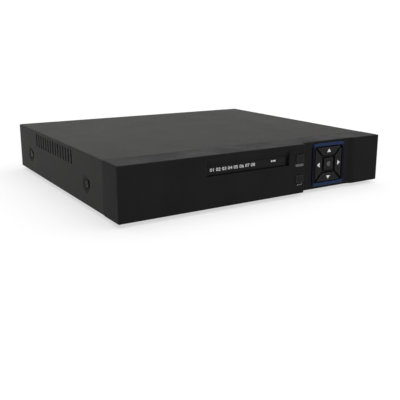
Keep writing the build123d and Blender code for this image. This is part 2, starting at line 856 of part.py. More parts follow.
with BuildPart() as board_standoffs:
    with BuildSketch(Plane.XY.offset(floor_z)):
        with Locations(*board_holes):
            RegularPolygon(standoff_radius, 6, major_radius=False)
            Circle(screw_radius + running_clearance, mode=Mode.SUBTRACT)
    extrude(amount=standoff_height)
board_standoffs.part.label = "board_standoffs"
export_step(board_standoffs.part, "parts/board_standoffs.step")

with BuildPart() as main_board:
    box_between(
        (-main_board_width / 2, board_front_y, board_z),
        (main_board_width / 2, board_back_y, board_top),
    )
    with BuildSketch(Plane.XY.offset(board_top)):
        with Locations(*board_holes):
            Circle(screw_radius + screw_clearance)
    extrude(amount=-board_wall, mode=Mode.SUBTRACT)
main_board.part.label = "main_board"
export_step(main_board.part, "parts/main_board.step")


def on_board(x, behind):
    """Plane on the main board's top face, at x, behind the board's front edge."""
    return Plane(origin=(x, board_front_y + behind, board_top))


def chips(places, wide, deep, tall):
    """Adds a flat chip at each place on the main board."""
    with Locations(*[on_board(*place) for place in places]):
        Box(wide, deep, tall, align=(Align.CENTER, Align.CENTER, Align.MIN))


with BuildPart() as processor:
    chips([heatsink_place], processor_side, processor_side, processor_height)
processor.part.label = "processor"
export_step(processor.part, "parts/processor.step")

with BuildPart() as heatsink:
    with BuildSketch(on_board(*heatsink_place).offset(processor_height)):
        Rectangle(heatsink_side, heatsink_side)
    extrude(amount=heatsink_base)
    with BuildSketch(on_board(*heatsink_place).offset(processor_height + heatsink_base)):
        with GridLocations((heatsink_side - 1.2) / (heatsink_fins - 1), 0, heatsink_fins, 1):
            Rectangle(1.2, heatsink_side)
    extrude(amount=heatsink_fin)
heatsink.part.label = "heatsink"
export_step(heatsink.part, "parts/heatsink.step")

with BuildPart() as memory_chips:
    chips([(-12, 26), (-12, 42)], 12, 9, 1.1)
    chips([(60, 30)], 8, 6, 1.5)
memory_chips.part.label = "memory_chips"
export_step(memory_chips.part, "parts/memory_chips.step")

with BuildPart() as video_converters:
    chips([(x, 54) for x in bnc_x[1:3]], 14, 14, 1.4)
    chips([(-30, 55), (64, 50)], 9, 9, 1.4)
video_converters.part.label = "video_converters"
export_step(video_converters.part, "parts/video_converters.step")

with BuildPart() as capacitors:
    for x, behind in ((98, 40), (88, 40), (98, 28), (-40, 20), (-52, 20), (-92, 40)):
        with BuildSketch(on_board(x, behind)):
            Circle(4)
        extrude(amount=10)
    fillet(capacitors.faces().group_by(Axis.Z)[-1].edges(), 0.5)
capacitors.part.label = "capacitors"
export_step(capacitors.part, "parts/capacitors.step")

cell_place = (-70, 22)
with BuildPart() as battery_holder:
    with BuildSketch(on_board(*cell_place)):
        Circle(cell_radius + 1.5)
        Rectangle(2 * cell_radius + 6, 8)
    extrude(amount=1.2 + cell_height)
    with BuildSketch(on_board(*cell_place).offset(1.2)):
        Circle(cell_radius + plate_clearance)
    extrude(amount=cell_height, mode=Mode.SUBTRACT)
battery_holder.part.label = "battery_holder"
export_step(battery_holder.part, "parts/battery_holder.step")

with BuildPart() as backup_battery:
    with BuildSketch(on_board(*cell_place).offset(1.2)):
        Circle(cell_radius)
    extrude(amount=cell_height)
    fillet(backup_battery.faces().sort_by(Axis.Z)[-1].edges(), 0.4)
backup_battery.part.label = "backup_battery"
export_step(backup_battery.part, "parts/backup_battery.step")

# headers along the board's front edge: drive data, drive power, key board ribbon
headers = (
    (data_cable_x, data_plug_wide),
    (power_cable_x, power_plug_wide),
    (ribbon_x, ribbon_width + 4),
)
header_y = board_front_y + header_deep
with BuildPart() as board_headers:
    for x, wide in headers:
        box_between(
            (x - wide / 2, board_front_y, board_top), (x + wide / 2, header_y, board_top + header_tall)
        )
    box_between(
        (ribbon_x - ribbon_width / 2 - 2, key_board_back_y, ribbon_z - header_tall / 2),
        (ribbon_x + ribbon_width / 2 + 2, key_board_back_y + plug_length / 2, ribbon_z + header_tall / 2),
    )
board_headers.part.label = "board_headers"
export_step(board_headers.part, "parts/board_headers.step")

# ---------------------------------------------------------------- disk drive
port_half = header_tall / 2
with BuildPart() as drive_body:
    with BuildSketch(Plane.XY.offset(drive_z)):
        with Locations(((drive_left + drive_right) / 2, drive_mid_y)):
            RectangleRounded(drive_length, drive_width, 2)
    extrude(amount=drive_height - drive_lid)
    chamfer(drive_body.faces().sort_by(Axis.Z)[-1].edges(), 0.8)
    box_between(
        (drive_right - drive_port_deep, power_port_y - power_plug_wide, drive_port_z - port_half),
        (drive_right + 1, data_port_y + data_plug_wide, drive_port_z + port_half),
        mode=Mode.SUBTRACT,
    )
    with BuildSketch(Plane.XY.offset(drive_z)):
        with Locations(*drive_holes):
            Circle(screw_radius + running_clearance)
    extrude(amount=screw_length, mode=Mode.SUBTRACT)
drive_body.part.label = "drive_body"
export_step(drive_body.part, "parts/drive_body.step")

lid_z = drive_z + drive_height - drive_lid
with BuildPart() as drive_cover:
    with BuildSketch(Plane.XY.offset(lid_z)):
        with Locations(((drive_left + drive_right) / 2, drive_mid_y)):
            RectangleRounded(drive_length - 6, drive_width - 4, 8)
    extrude(amount=drive_lid)
    with BuildSketch(Plane.XY.offset(lid_z + drive_lid)):
        with Locations((drive_left + 0.36 * drive_length, drive_mid_y)):
            Circle(0.42 * drive_width)
            Circle(0.4 * drive_width, mode=Mode.SUBTRACT)
    extrude(amount=-drive_lid / 3, mode=Mode.SUBTRACT)
drive_cover.part.label = "drive_cover"
export_step(drive_cover.part, "parts/drive_cover.step")

with BuildPart() as drive_connector:
    box_between(
        (drive_right - drive_port_deep, power_port_y - power_plug_wide / 2 - 1, drive_port_z - port_half),
        (drive_right, data_port_y + data_plug_wide / 2 + 1, drive_port_z + port_half),
    )
drive_connector.part.label = "drive_connector"
export_step(drive_connector.part, "parts/drive_connector.step")


def drive_cable(port_y, turn_x, radius, plug_wide):
    """Cable from the drive's port to a header on the main board, with a plug on each end."""
    plug_half = header_tall / 2
    header_z = board_top + plug_half
    start_x = drive_right + plug_length
    end_y = board_front_y - plug_length
    with BuildPart() as cable:
        with BuildLine() as route:
            FilletPolyline(
                (start_x, port_y, drive_port_z),
                (turn_x, port_y, drive_port_z),
                (turn_x, end_y, header_z),
                radius=cable_bend,
            )
        with BuildSketch(Plane(origin=(start_x, port_y, drive_port_z), z_dir=(1, 0, 0))):
            Circle(radius)
        sweep(path=route.wires()[0])
        box_between(
            (drive_right, port_y - plug_wide / 2, drive_port_z - plug_half),
            (start_x, port_y + plug_wide / 2, drive_port_z + plug_half),
        )
        box_between(
            (turn_x - plug_wide / 2, end_y, board_top),
            (turn_x + plug_wide / 2, board_front_y, board_top + header_tall),
        )
    return cable


drive_data_cable = drive_cable(data_port_y, data_cable_x, data_cable_radius, data_plug_wide)
drive_data_cable.part.label = "drive_data_cable"
export_step(drive_data_cable.part, "parts/drive_data_cable.step")

drive_power_cable = drive_cable(power_port_y, power_cable_x, power_cable_radius, power_plug_wide)
drive_power_cable.part.label = "drive_power_cable"
export_step(drive_power_cable.part, "parts/drive_power_cable.step")

# flat ribbon through the tray's front wall, laid along the floor to the main board
ribbon_start_y = key_board_back_y + plug_length / 2
ribbon_end_y = board_front_y - plug_length
with BuildPart() as keypad_ribbon:
    with BuildLine() as ribbon_route:
        FilletPolyline(
            (ribbon_x, ribbon_start_y, ribbon_z),
            (ribbon_x, ribbon_start_y + 14, ribbon_z),
            (ribbon_x, ribbon_start_y + 30, floor_z + 3),
            (ribbon_x, ribbon_end_y - 30, floor_z + 3),
            (ribbon_x, ribbon_end_y - 12, board_top + header_tall / 2),
            (ribbon_x, ribbon_end_y, board_top + header_tall / 2),
            radius=cable_bend,
        )
    with BuildSketch(at_y(ribbon_start_y)):
        with Locations((ribbon_x, ribbon_z)):
            Rectangle(ribbon_width, ribbon_wall)
    sweep(path=ribbon_route.wires()[0])
    box_between(
        (ribbon_x - ribbon_width / 2 - 1, ribbon_end_y, board_top),
        (ribbon_x + ribbon_width / 2 + 1, board_front_y, board_top + header_tall),
    )
keypad_ribbon.part.label = "keypad_ribbon"
export_step(keypad_ribbon.part, "parts/keypad_ribbon.step")

# ---------------------------------------------------------------- camera sockets
bnc_tip_y = rear_y + bnc_reach
bnc_neck_y = panel_y + bnc_thread_out
with BuildPart() as bnc_housings:
    for x in bnc_x:
        box_between(
            (x - bnc_block / 2, housing_y - bnc_block, board_top),
            (x + bnc_block / 2, housing_y, bnc_z + bnc_block / 2),
        )
bnc_housings.part.label = "bnc_housings"
export_step(bnc_housings.part, "parts/bnc_housings.step")

with BuildPart() as bnc_shells:
    with BuildSketch(at_y(bnc_neck_y)):
        with Locations(*bnc_spots):
            Circle(bnc_thread)
    extrude(amount=bnc_neck_y - housing_y)
    with BuildSketch(at_y(panel_y)):
        with Locations(*bnc_spots):
            RegularPolygon(bnc_nut, 6, major_radius=False)
    extrude(amount=-bnc_nut_wall)
    with BuildSketch(at_y(bnc_tip_y)):
        with Locations(*bnc_spots):
            Circle(bnc_barrel)
    extrude(amount=bnc_tip_y - bnc_neck_y)
    chamfer(bnc_shells.faces().group_by(Axis.Y)[-1].edges(), 0.35)
    with Locations(*[(x, bnc_tip_y - bnc_lug_back, bnc_z) for x in bnc_x]):
        Cylinder(bnc_lug, 2 * bnc_lug_reach)
    with BuildSketch(at_y(bnc_tip_y)):
        with Locations(*bnc_spots):
            Circle(bnc_bore)
    extrude(amount=bnc_tip_y - bnc_neck_y, mode=Mode.SUBTRACT)
    with BuildSketch(at_y(bnc_neck_y)):
        with Locations(*bnc_spots):
            Circle(bnc_insulator + running_clearance)
    extrude(amount=bnc_neck_y - housing_y, mode=Mode.SUBTRACT)
bnc_shells.part.label = "bnc_shells"
export_step(bnc_shells.part, "parts/bnc_shells.step")

with BuildPart() as bnc_insulators:
    with BuildSketch(at_y(bnc_tip_y - bnc_lip)):
        with Locations(*bnc_spots):
            Circle(bnc_insulator)
            Circle(bnc_contact + running_clearance, mode=Mode.SUBTRACT)
    extrude(amount=bnc_tip_y - bnc_lip - housing_y)
bnc_insulators.part.label = "bnc_insulators"
export_step(bnc_insulators.part, "parts/bnc_insulators.step")

with BuildPart() as bnc_contacts:
    with BuildSketch(at_y(bnc_tip_y - bnc_lip)):
        with Locations(*bnc_spots):
            Circle(bnc_contact)
    extrude(amount=bnc_tip_y - bnc_lip - housing_y)
    with BuildSketch(at_y(bnc_tip_y - bnc_lip)):
        with Locations(*bnc_spots):
            Circle(0.6 * bnc_contact)
    extrude(amount=5, mode=Mode.SUBTRACT)
bnc_contacts.part.label = "bnc_contacts"
export_step(bnc_contacts.part, "parts/bnc_contacts.step")

# ---------------------------------------------------------------- sound sockets
rca_tip_y = panel_y + rca_reach
with BuildPart() as rca_housings:
    for x in rca_x:
        box_between(
            (x - rca_block / 2, housing_y - rca_block_deep, board_top),
            (x + rca_block / 2, housing_y, board_top + rca_heights[-1] + rca_block / 2),
        )
    with BuildSketch(at_y(rca_tip_y - 0.4)):
        with Locations(*rca_spots):
            Circle(rca_sleeve - rca_wall - running_clearance)
    extrude(amount=rca_tip_y - 0.4 - housing_y)
    with BuildSketch(at_y(rca_tip_y)):
        with Locations(*rca_spots):
            Circle(rca_bore)
    extrude(amount=rca_reach + 2, mode=Mode.SUBTRACT)
rca_housings.part.label = "rca_housings"
export_step(rca_housings.part, "parts/rca_housings.step")

with BuildPart() as rca_sleeves:
    with BuildSketch(at_y(rca_tip_y)):
        with Locations(*rca_spots):
            Circle(rca_sleeve)
    extrude(amount=rca_tip_y - housing_y)
    with BuildSketch(at_y(panel_y + rca_collar_out)):
        with Locations(*rca_spots):
            Circle(rca_collar)
    extrude(amount=panel_y + rca_collar_out - housing_y)
    with BuildSketch(at_y(rca_tip_y)):
        with Locations(*rca_spots):
            Circle(rca_sleeve - rca_wall)
    extrude(amount=rca_tip_y - housing_y, mode=Mode.SUBTRACT)
rca_sleeves.part.label = "rca_sleeves"
export_step(rca_sleeves.part, "parts/rca_sleeves.step")


# ---------------------------------------------------------------- screen, network and power sockets
def d_outline(wide, tall):
    """D-shaped outline, wider at its top, round about the origin."""
    with BuildSketch() as outline:
        Trapezoid(wide, tall, 80, rotation=180)
        fillet(outline.vertices(), 0.28 * tall)
    return outline.sketch


vga_tip_y = panel_y + vga_plate + vga_shell
with BuildPart() as vga_shell_part:
    with BuildSketch(at_y(panel_y + vga_plate)):
        with Locations((vga_x, vga_z)):
            RectangleRounded(vga_screw_spacing + 6, 12.4, 2)
        with Locations(*vga_screw_spots):
            Circle(jackscrew_shank + running_clearance, mode=Mode.SUBTRACT)
    extrude(amount=vga_plate)
    with BuildSketch(at_y(vga_tip_y)):
        with Locations((vga_x, vga_z)):
            add(d_outline(vga_wide, vga_tall))
    extrude(amount=vga_tip_y - panel_y)
    with BuildSketch(at_y(vga_tip_y)):
        with Locations((vga_x, vga_z)):
            add(d_outline(vga_wide - 2 * vga_sheet, vga_tall - 2 * vga_sheet))
    extrude(amount=vga_tip_y - panel_y, mode=Mode.SUBTRACT)
vga_shell_part.part.label = "vga_shell"
export_step(vga_shell_part.part, "parts/vga_shell.step")

with BuildPart() as vga_insert:
    with BuildSketch(at_y(vga_tip_y - 0.4)):
        with Locations((vga_x, vga_z)):
            add(d_outline(vga_wide - 2 * vga_sheet - 0.2, vga_tall - 2 * vga_sheet - 0.2))
    extrude(amount=vga_tip_y - 0.4 - housing_y)
    box_between(
        (vga_x - vga_screw_spacing / 2 - 3, housing_y - 12, board_top),
        (vga_x + vga_screw_spacing / 2 + 3, housing_y, vga_z + 5.5),
    )
    with BuildSketch(at_y(vga_tip_y)):
        for row in (-1, 0, 1):
            with Locations((vga_x + 0.57 * (row % 2 - 0.5), vga_z + row * 1.98)):
                with GridLocations(2.29, 0, 5, 1):
                    Circle(0.5)
    extrude(amount=5, mode=Mode.SUBTRACT)
    with BuildSketch(at_y(housing_y)):
        with Locations(*vga_screw_spots):
            Circle(jackscrew_shank + running_clearance)
    extrude(amount=6, mode=Mode.SUBTRACT)
vga_insert.part.label = "vga_insert"
export_step(vga_insert.part, "parts/vga_insert.step")

jackscrew_y = panel_y + vga_plate
with BuildPart() as vga_jackscrews:
    with BuildSketch(at_y(jackscrew_y + jackscrew_length)):
        with Locations(*vga_screw_spots):
            RegularPolygon(jackscrew_radius, 6)
    extrude(amount=jackscrew_length)
    with BuildSketch(at_y(jackscrew_y)):
        with Locations(*vga_screw_spots):
            Circle(jackscrew_shank)
    extrude(amount=jackscrew_y - housing_y + 5)
    with BuildSketch(at_y(jackscrew_y + jackscrew_length)):
        with Locations(*vga_screw_spots):
            Circle(jackscrew_bore)
    extrude(amount=jackscrew_thread, mode=Mode.SUBTRACT)
vga_jackscrews.part.label = "vga_jackscrews"
export_step(vga_jackscrews.part, "parts/vga_jackscrews.step")


def socket_block(x, wide, tall, deep):
    """Block of a rear socket, standing on the board and through the rear wall."""
    box_between(
        (x - wide / 2, socket_front_y - deep, board_top),
        (x + wide / 2, socket_front_y, board_top + tall),
    )


hdmi_z = board_top + hdmi_tall / 2
with BuildPart() as hdmi_socket:
    socket_block(hdmi_x, hdmi_wide, hdmi_tall, 12)
    with BuildSketch(at_y(socket_front_y)):
        with BuildLine():
            left = hdmi_x - hdmi_wide / 2 + 0.5
            right = hdmi_x + hdmi_wide / 2 - 0.5
            low = board_top + 0.5
            Polyline(
                (left + 2, low),
                (right - 2, low),
                (right, low + 2),
                (right, board_top + hdmi_tall - 0.5),
                (left, board_top + hdmi_tall - 0.5),
                (left, low + 2),
                (left + 2, low),
            )
        make_face()
    extrude(amount=hdmi_cavity, mode=Mode.SUBTRACT)
hdmi_socket.part.label = "hdmi_socket"
export_step(hdmi_socket.part, "parts/hdmi_socket.step")

usb_levels = (0.27 * usb_tall, 0.73 * usb_tall)
with BuildPart() as usb_sockets:
    socket_block(usb_x, usb_wide, usb_tall, 18)
    with BuildSketch(at_y(socket_front_y)):
        with Locations(*[(usb_x, board_top + level) for level in usb_levels]):
            Rectangle(12.6, 5.3)
    extrude(amount=usb_cavity, mode=Mode.SUBTRACT)
usb_sockets.part.label = "usb_sockets"
export_step(usb_sockets.part, "parts/usb_sockets.step")

with BuildPart() as socket_tongues:
    box_between(
        (hdmi_x - 5.5, socket_front_y - hdmi_cavity, hdmi_z - 0.1),
        (hdmi_x + 5.5, socket_front_y - 0.8, hdmi_z + 1.3),
    )
    for level in usb_levels:
        box_between(
            (usb_x - 5.6, socket_front_y - usb_cavity, board_top + level),
            (usb_x + 5.6, socket_front_y - 1, board_top + level + 1.8),
        )
socket_tongues.part.label = "socket_tongues"
export_step(socket_tongues.part, "parts/socket_tongues.step")

lan_low = board_top + 3.2
lan_high = lan_low + 8.2
with BuildPart() as lan_socket:
    socket_block(lan_x, lan_wide, lan_tall, 20)
    box_between(
        (lan_x - 5.9, socket_front_y - lan_cavity, lan_low),
        (lan_x + 5.9, socket_front_y + 1, lan_high),
        mode=Mode.SUBTRACT,
    )
    box_between(
        (lan_x - 3.1, socket_front_y - lan_cavity, lan_low - 2),
        (lan_x + 3.1, socket_front_y + 1, lan_low),
        mode=Mode.SUBTRACT,
    )
lan_socket.part.label = "lan_socket"
export_step(lan_socket.part, "parts/lan_socket.step")

power_z = board_top + power_tall / 2
with BuildPart() as power_socket:
    socket_block(power_x, power_wide, power_tall, 14)
    with BuildSketch(at_y(socket_front_y)):
        with Locations((power_x, power_z)):
            Circle(power_bore)
    extrude(amount=power_cavity, mode=Mode.SUBTRACT)
power_socket.part.label = "power_socket"
export_step(power_socket.part, "parts/power_socket.step")

with BuildPart() as socket_contacts:
    with BuildSketch(at_y(socket_front_y - 1.5)):
        with Locations((lan_x, lan_high - 0.5)):
            with GridLocations(1.02, 0, 8, 1):
                Rectangle(0.4, 0.5)
    extrude(amount=lan_cavity - 1.5)
    with BuildSketch(at_y(socket_front_y - 0.8)):
        with Locations((power_x, power_z)):
            Circle(1)
    extrude(amount=power_cavity - 0.8)
    fillet(
        socket_contacts.edges().filter_by(GeomType.CIRCLE).sort_by(Axis.Y)[-1], 0.5
    )
socket_contacts.part.label = "socket_contacts"
export_step(socket_contacts.part, "parts/socket_contacts.step")
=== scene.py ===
import json
import math

import bmesh
import bpy
from mathutils import Matrix, Vector


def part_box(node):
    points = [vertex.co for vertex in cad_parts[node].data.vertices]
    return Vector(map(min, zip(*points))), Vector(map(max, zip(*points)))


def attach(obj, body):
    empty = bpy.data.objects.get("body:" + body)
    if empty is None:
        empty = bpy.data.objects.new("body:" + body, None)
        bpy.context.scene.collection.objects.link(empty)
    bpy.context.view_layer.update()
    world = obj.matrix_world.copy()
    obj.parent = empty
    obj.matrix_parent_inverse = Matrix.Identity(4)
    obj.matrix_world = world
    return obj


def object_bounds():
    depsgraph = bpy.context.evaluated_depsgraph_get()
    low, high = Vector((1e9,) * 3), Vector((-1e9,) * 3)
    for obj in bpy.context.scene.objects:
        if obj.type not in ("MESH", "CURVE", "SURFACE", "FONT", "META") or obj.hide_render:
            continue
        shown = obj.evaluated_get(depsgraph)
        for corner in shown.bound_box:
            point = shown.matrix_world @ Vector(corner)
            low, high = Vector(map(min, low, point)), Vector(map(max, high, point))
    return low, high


# Looks for the recorder: a finish for every part of the frame, the printed marks, and a plain studio.
# Metres throughout, in the frame's own axes: the front faces -Y and Z is up.

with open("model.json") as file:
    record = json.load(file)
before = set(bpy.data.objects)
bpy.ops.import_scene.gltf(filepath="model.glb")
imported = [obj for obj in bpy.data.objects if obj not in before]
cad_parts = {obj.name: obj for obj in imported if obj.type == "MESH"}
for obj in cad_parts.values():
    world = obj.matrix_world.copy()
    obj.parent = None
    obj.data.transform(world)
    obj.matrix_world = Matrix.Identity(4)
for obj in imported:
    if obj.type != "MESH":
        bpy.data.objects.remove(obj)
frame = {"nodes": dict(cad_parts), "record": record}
cad_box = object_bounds()

MM = 0.001
MICRON = 0.000001
QUARTER_TURN = math.pi / 2


# ---------------------------------------------------------------- shader building


def add_node(tree, kind, **settings):
    """A shader node with its own settings, not its sockets."""
    made = tree.nodes.new("ShaderNode" + kind)
    for name, value in settings.items():
        setattr(made, name, value)
    return made


def wire(tree, output, socket):
    tree.links.new(output, socket)


def fill(tree, node, values):
    """Sets each value on the node's socket of that name, or links it where it is a node's output."""
    for name, value in values.items():
        socket = node.inputs[name]
        if isinstance(value, bpy.types.NodeSocket):
            wire(tree, value, socket)
        else:
            socket.default_value = value


def maths(tree, operation, first, second, clamp=False):
    made = add_node(tree, "Math", operation=operation, use_clamp=clamp)
    fill(tree, made, {0: first, 1: second})
    return made.outputs[0]


def spread(tree, value, low, high, to_low=0.0, to_high=1.0):
    """Stretches low to high over the new range, and holds it there."""
    made = add_node(tree, "MapRange")
    places = {"Value": value, "From Min": low, "From Max": high, "To Min": to_low, "To Max": to_high}
    fill(tree, made, places)
    return made.outputs["Result"]


MIX_SHARE = 0
MIX_COLOURS = (6, 7)
MIX_RESULT = 2


def blend_colours(tree, share, first, second):
    """The Mix node keeps a set of sockets for each kind of value, so its colour ones go by number."""
    made = add_node(tree, "Mix", data_type="RGBA")
    fill(tree, made, {MIX_SHARE: share, MIX_COLOURS[0]: first, MIX_COLOURS[1]: second})
    return made.outputs[MIX_RESULT]


def place(tree, scale=(1, 1, 1), location=(0, 0, 0), turn=(0, 0, 0)):
    """Object coordinates through a Mapping node."""
    where = add_node(tree, "TexCoord")
    mapping = add_node(tree, "Mapping")
    fill(tree, mapping, {"Vector": where.outputs["Object"], "Scale": scale})
    fill(tree, mapping, {"Location": location, "Rotation": turn})
    return mapping.outputs["Vector"]


def noise(tree, scale, detail=2.0, roughness=0.5, vector=None):
    made = add_node(tree, "TexNoise")
    fill(tree, made, {"Scale": scale, "Detail": detail, "Roughness": roughness})
    wire(tree, vector or place(tree), made.inputs["Vector"])
    return made.outputs["Fac"]


def colour(red, green, blue):
    return (red, green, blue, 1.0)


def middle(node):
    low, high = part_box(node)
    return (low + high) / 2


def new_group(name, inputs, outputs):
    """An empty node group with its sockets, and its input and output nodes."""
    tree = bpy.data.node_groups.new(name, "ShaderNodeTree")
    for label, kind, value in inputs:
        socket = tree.interface.new_socket(label, in_out="INPUT", socket_type="NodeSocket" + kind)
        socket.default_value = value
    for label, kind in outputs:
        tree.interface.new_socket(label, in_out="OUTPUT", socket_type="NodeSocket" + kind)
    return tree, tree.nodes.new("NodeGroupInput"), tree.nodes.new("NodeGroupOutput")


def use_group(tree, name, **values):
    made = add_node(tree, "Group", node_tree=bpy.data.node_groups[name])
    fill(tree, made, {label.replace("_", " "): value for label, value in values.items()})
    return made.outputs


def build_surface_grain():
    """Fine grain of a moulded or sprayed surface, over slow cloudy patches of tone."""
    inputs = (
        ("Grain", "Float", 1800.0),
        ("Patch", "Float", 35.0),
        ("Spread", "Float", 0.25),
        ("Tone", "Color", colour(0.02, 0.02, 0.02)),
        ("Paler", "Color", colour(0.04, 0.04, 0.04)),
        ("Roughness", "Float", 0.5),
    )
    outputs = (("Colour", "Color"), ("Roughness", "Float"), ("Height", "Float"))
    tree, given, result = new_group("surface_grain", inputs, outputs)
    fine = noise(tree, given.outputs["Grain"], 3.0, 0.6)
    cloud = noise(tree, given.outputs["Patch"], 4.0, 0.55)
    speckle = spread(tree, fine, 0.35, 0.7)
    mottle = spread(tree, cloud, 0.3, 0.7)
    speckle_share = 0.45
    both = maths(tree, "MULTIPLY_ADD", speckle, speckle_share)
    wire(tree, maths(tree, "MULTIPLY", mottle, 1 - speckle_share), both.node.inputs[2])
    toned = blend_colours(tree, both, given.outputs["Tone"], given.outputs["Paler"])
    rough = maths(tree, "MULTIPLY_ADD", maths(tree, "SUBTRACT", both, 0.5), given.outputs["Spread"])
    wire(tree, given.outputs["Roughness"], rough.node.inputs[2])
    wire(tree, toned, result.inputs["Colour"])
    wire(tree, rough, result.inputs["Roughness"])
    wire(tree, fine, result.inputs["Height"])


def build_edge_wear_and_highlight():
    """A mask along the outside bends and corners, for rubbed wear and for painted edge highlights, broken up
    as real rubbing is.
    """
    inputs = (("Reach", "Float", 0.0005), ("Strength", "Float", 1.0), ("Break", "Float", 260.0))
    tree, given, result = new_group("edge_wear_and_highlight", inputs, (("Mask", "Float"),))
    rounded = add_node(tree, "Bevel", samples=4)
    wire(tree, given.outputs["Reach"], rounded.inputs["Radius"])
    flat = add_node(tree, "NewGeometry")
    meet = add_node(tree, "VectorMath", operation="DOT_PRODUCT")
    wire(tree, rounded.outputs["Normal"], meet.inputs[0])
    wire(tree, flat.outputs["True Normal"], meet.inputs[1])
    turned = maths(tree, "SUBTRACT", 1.0, meet.outputs["Value"])
    bend = spread(tree, turned, 0.004, 0.08)
    broken = noise(tree, given.outputs["Break"], 3.0, 0.6)
    patch = spread(tree, broken, 0.35, 0.62, 0.25, 1.0)
    strong = maths(tree, "MULTIPLY", bend, given.outputs["Strength"])
    wire(tree, maths(tree, "MULTIPLY", strong, patch, clamp=True), result.inputs["Mask"])


def build_settled_dust():
    """A thin film of dust on faces that look up, gathered in patches."""
    inputs = (("Amount", "Float", 0.1), ("Patch", "Float", 18.0))
    tree, given, result = new_group("settled_dust", inputs, (("Mask", "Float"),))
    parts = add_node(tree, "SeparateXYZ")
    wire(tree, add_node(tree, "NewGeometry").outputs["True Normal"], parts.inputs[0])
    upward = spread(tree, parts.outputs["Z"], 0.6, 1.0)
    film = spread(tree, noise(tree, given.outputs["Patch"], 5.0, 0.65), 0.3, 0.75)
    specks = spread(tree, noise(tree, 900.0, 1.0, 0.4), 0.62, 0.72)
    over = maths(tree, "ADD", film, maths(tree, "MULTIPLY", specks, 0.6))
    amount = maths(tree, "MULTIPLY", over, given.outputs["Amount"])
    wire(tree, maths(tree, "MULTIPLY", amount, upward, clamp=True), result.inputs["Mask"])


def build_brushed_lines():
    """Long fine lines left by brushing, rolling or turning."""
    inputs = (("Stretch", "Vector", (30.0, 1500.0, 1500.0)), ("Detail", "Float", 3.0))
    tree, given, result = new_group("brushed_lines", inputs, (("Line", "Float"), ("Height", "Float")))
    where = add_node(tree, "TexCoord")
    stretched = add_node(tree, "VectorMath", operation="MULTIPLY")
    wire(tree, where.outputs["Object"], stretched.inputs[0])
    wire(tree, given.outputs["Stretch"], stretched.inputs[1])
    line = noise(tree, 1.0, given.outputs["Detail"], 0.55, stretched.outputs[0])
    wire(tree, spread(tree, line, 0.3, 0.7), result.inputs["Line"])
    wire(tree, line, result.inputs["Height"])


def build_hairline_scratches():
    """Sparse hairlines that wiping leaves on a polished face."""
    inputs = (("Amount", "Float", 0.3),)
    tree, given, result = new_group("hairline_scratches", inputs, (("Mask", "Float"),))
    thin = None
    fine = 3200.0
    for turn, stretch in ((0.5, 60.0), (1.9, 90.0), (2.7, 45.0)):
        where = place(tree, (stretch, fine, fine), turn=(0, turn, 0))
        line = spread(tree, noise(tree, 1.0, 1.0, 0.5, where), 0.68, 0.74)
        thin = line if thin is None else maths(tree, "MAXIMUM", thin, line)
    wire(tree, maths(tree, "MULTIPLY", thin, given.outputs["Amount"]), result.inputs["Mask"])


for build in (
    build_surface_grain,
    build_edge_wear_and_highlight,
    build_settled_dust,
    build_brushed_lines,
    build_hairline_scratches,
):
    build()


def new_material(name):
    made = bpy.data.materials.new(name)
    made.use_nodes = True
    return made, made.node_tree, made.node_tree.nodes["Principled BSDF"]


def relief(tree, height, depth, rounding=0.0):
    """A bump of that depth from a height of 0 to 1, over edges that catch the light as if rounded."""
    made = add_node(tree, "Bump")
    fill(tree, made, {"Height": height, "Strength": 1.0, "Distance": depth})
    if rounding:
        soft = add_node(tree, "Bevel", samples=6)
        fill(tree, soft, {"Radius": rounding})
        wire(tree, soft.outputs["Normal"], made.inputs["Normal"])
    return made.outputs["Normal"]


# ---------------------------------------------------------------- finishes


DUST = colour(0.30, 0.29, 0.27)
COAT_DUST = colour(0.34, 0.33, 0.31)
# Grey of the coat's bends: rubbed coat and a painted highlight.
RUBBED_COAT_AND_HIGHLIGHT = colour(0.07, 0.069, 0.068)


def moulded_plastic(
    name, tone, paler, rough, grain=2200.0, depth=30 * MICRON, level=0.12, wear=0.35, dust=0.0
):
    """Moulded plastic with a spark-eroded grain, its edges rubbed a little paler and smoother, the paler edge
    also a painted highlight.
    """
    made, tree, shader = new_material(name)
    skin = use_group(tree, "surface_grain", Grain=grain, Tone=tone, Paler=paler, Roughness=rough)
    edge = use_group(tree, "edge_wear_and_highlight", Reach=0.8 * MM, Strength=wear)["Mask"]
    film = use_group(tree, "settled_dust", Amount=dust)["Mask"]
    # The paler edge colour is rubbed wear and a painted highlight along the edges.
    bright = colour(*(part * 2.2 + 0.012 for part in paler[:3]))
    rubbed_and_highlit = blend_colours(tree, edge, skin["Colour"], bright)
    dusty = blend_colours(tree, film, rubbed_and_highlit, DUST)
    smoother = maths(tree, "SUBTRACT", skin["Roughness"], maths(tree, "MULTIPLY", edge, 0.18))
    fill(tree, shader, {"Base Color": dusty, "Roughness": smoother, "Specular IOR Level": level})
    fill(tree, shader, {"Normal": relief(tree, skin["Height"], depth, 0.7 * MM)})
    return made


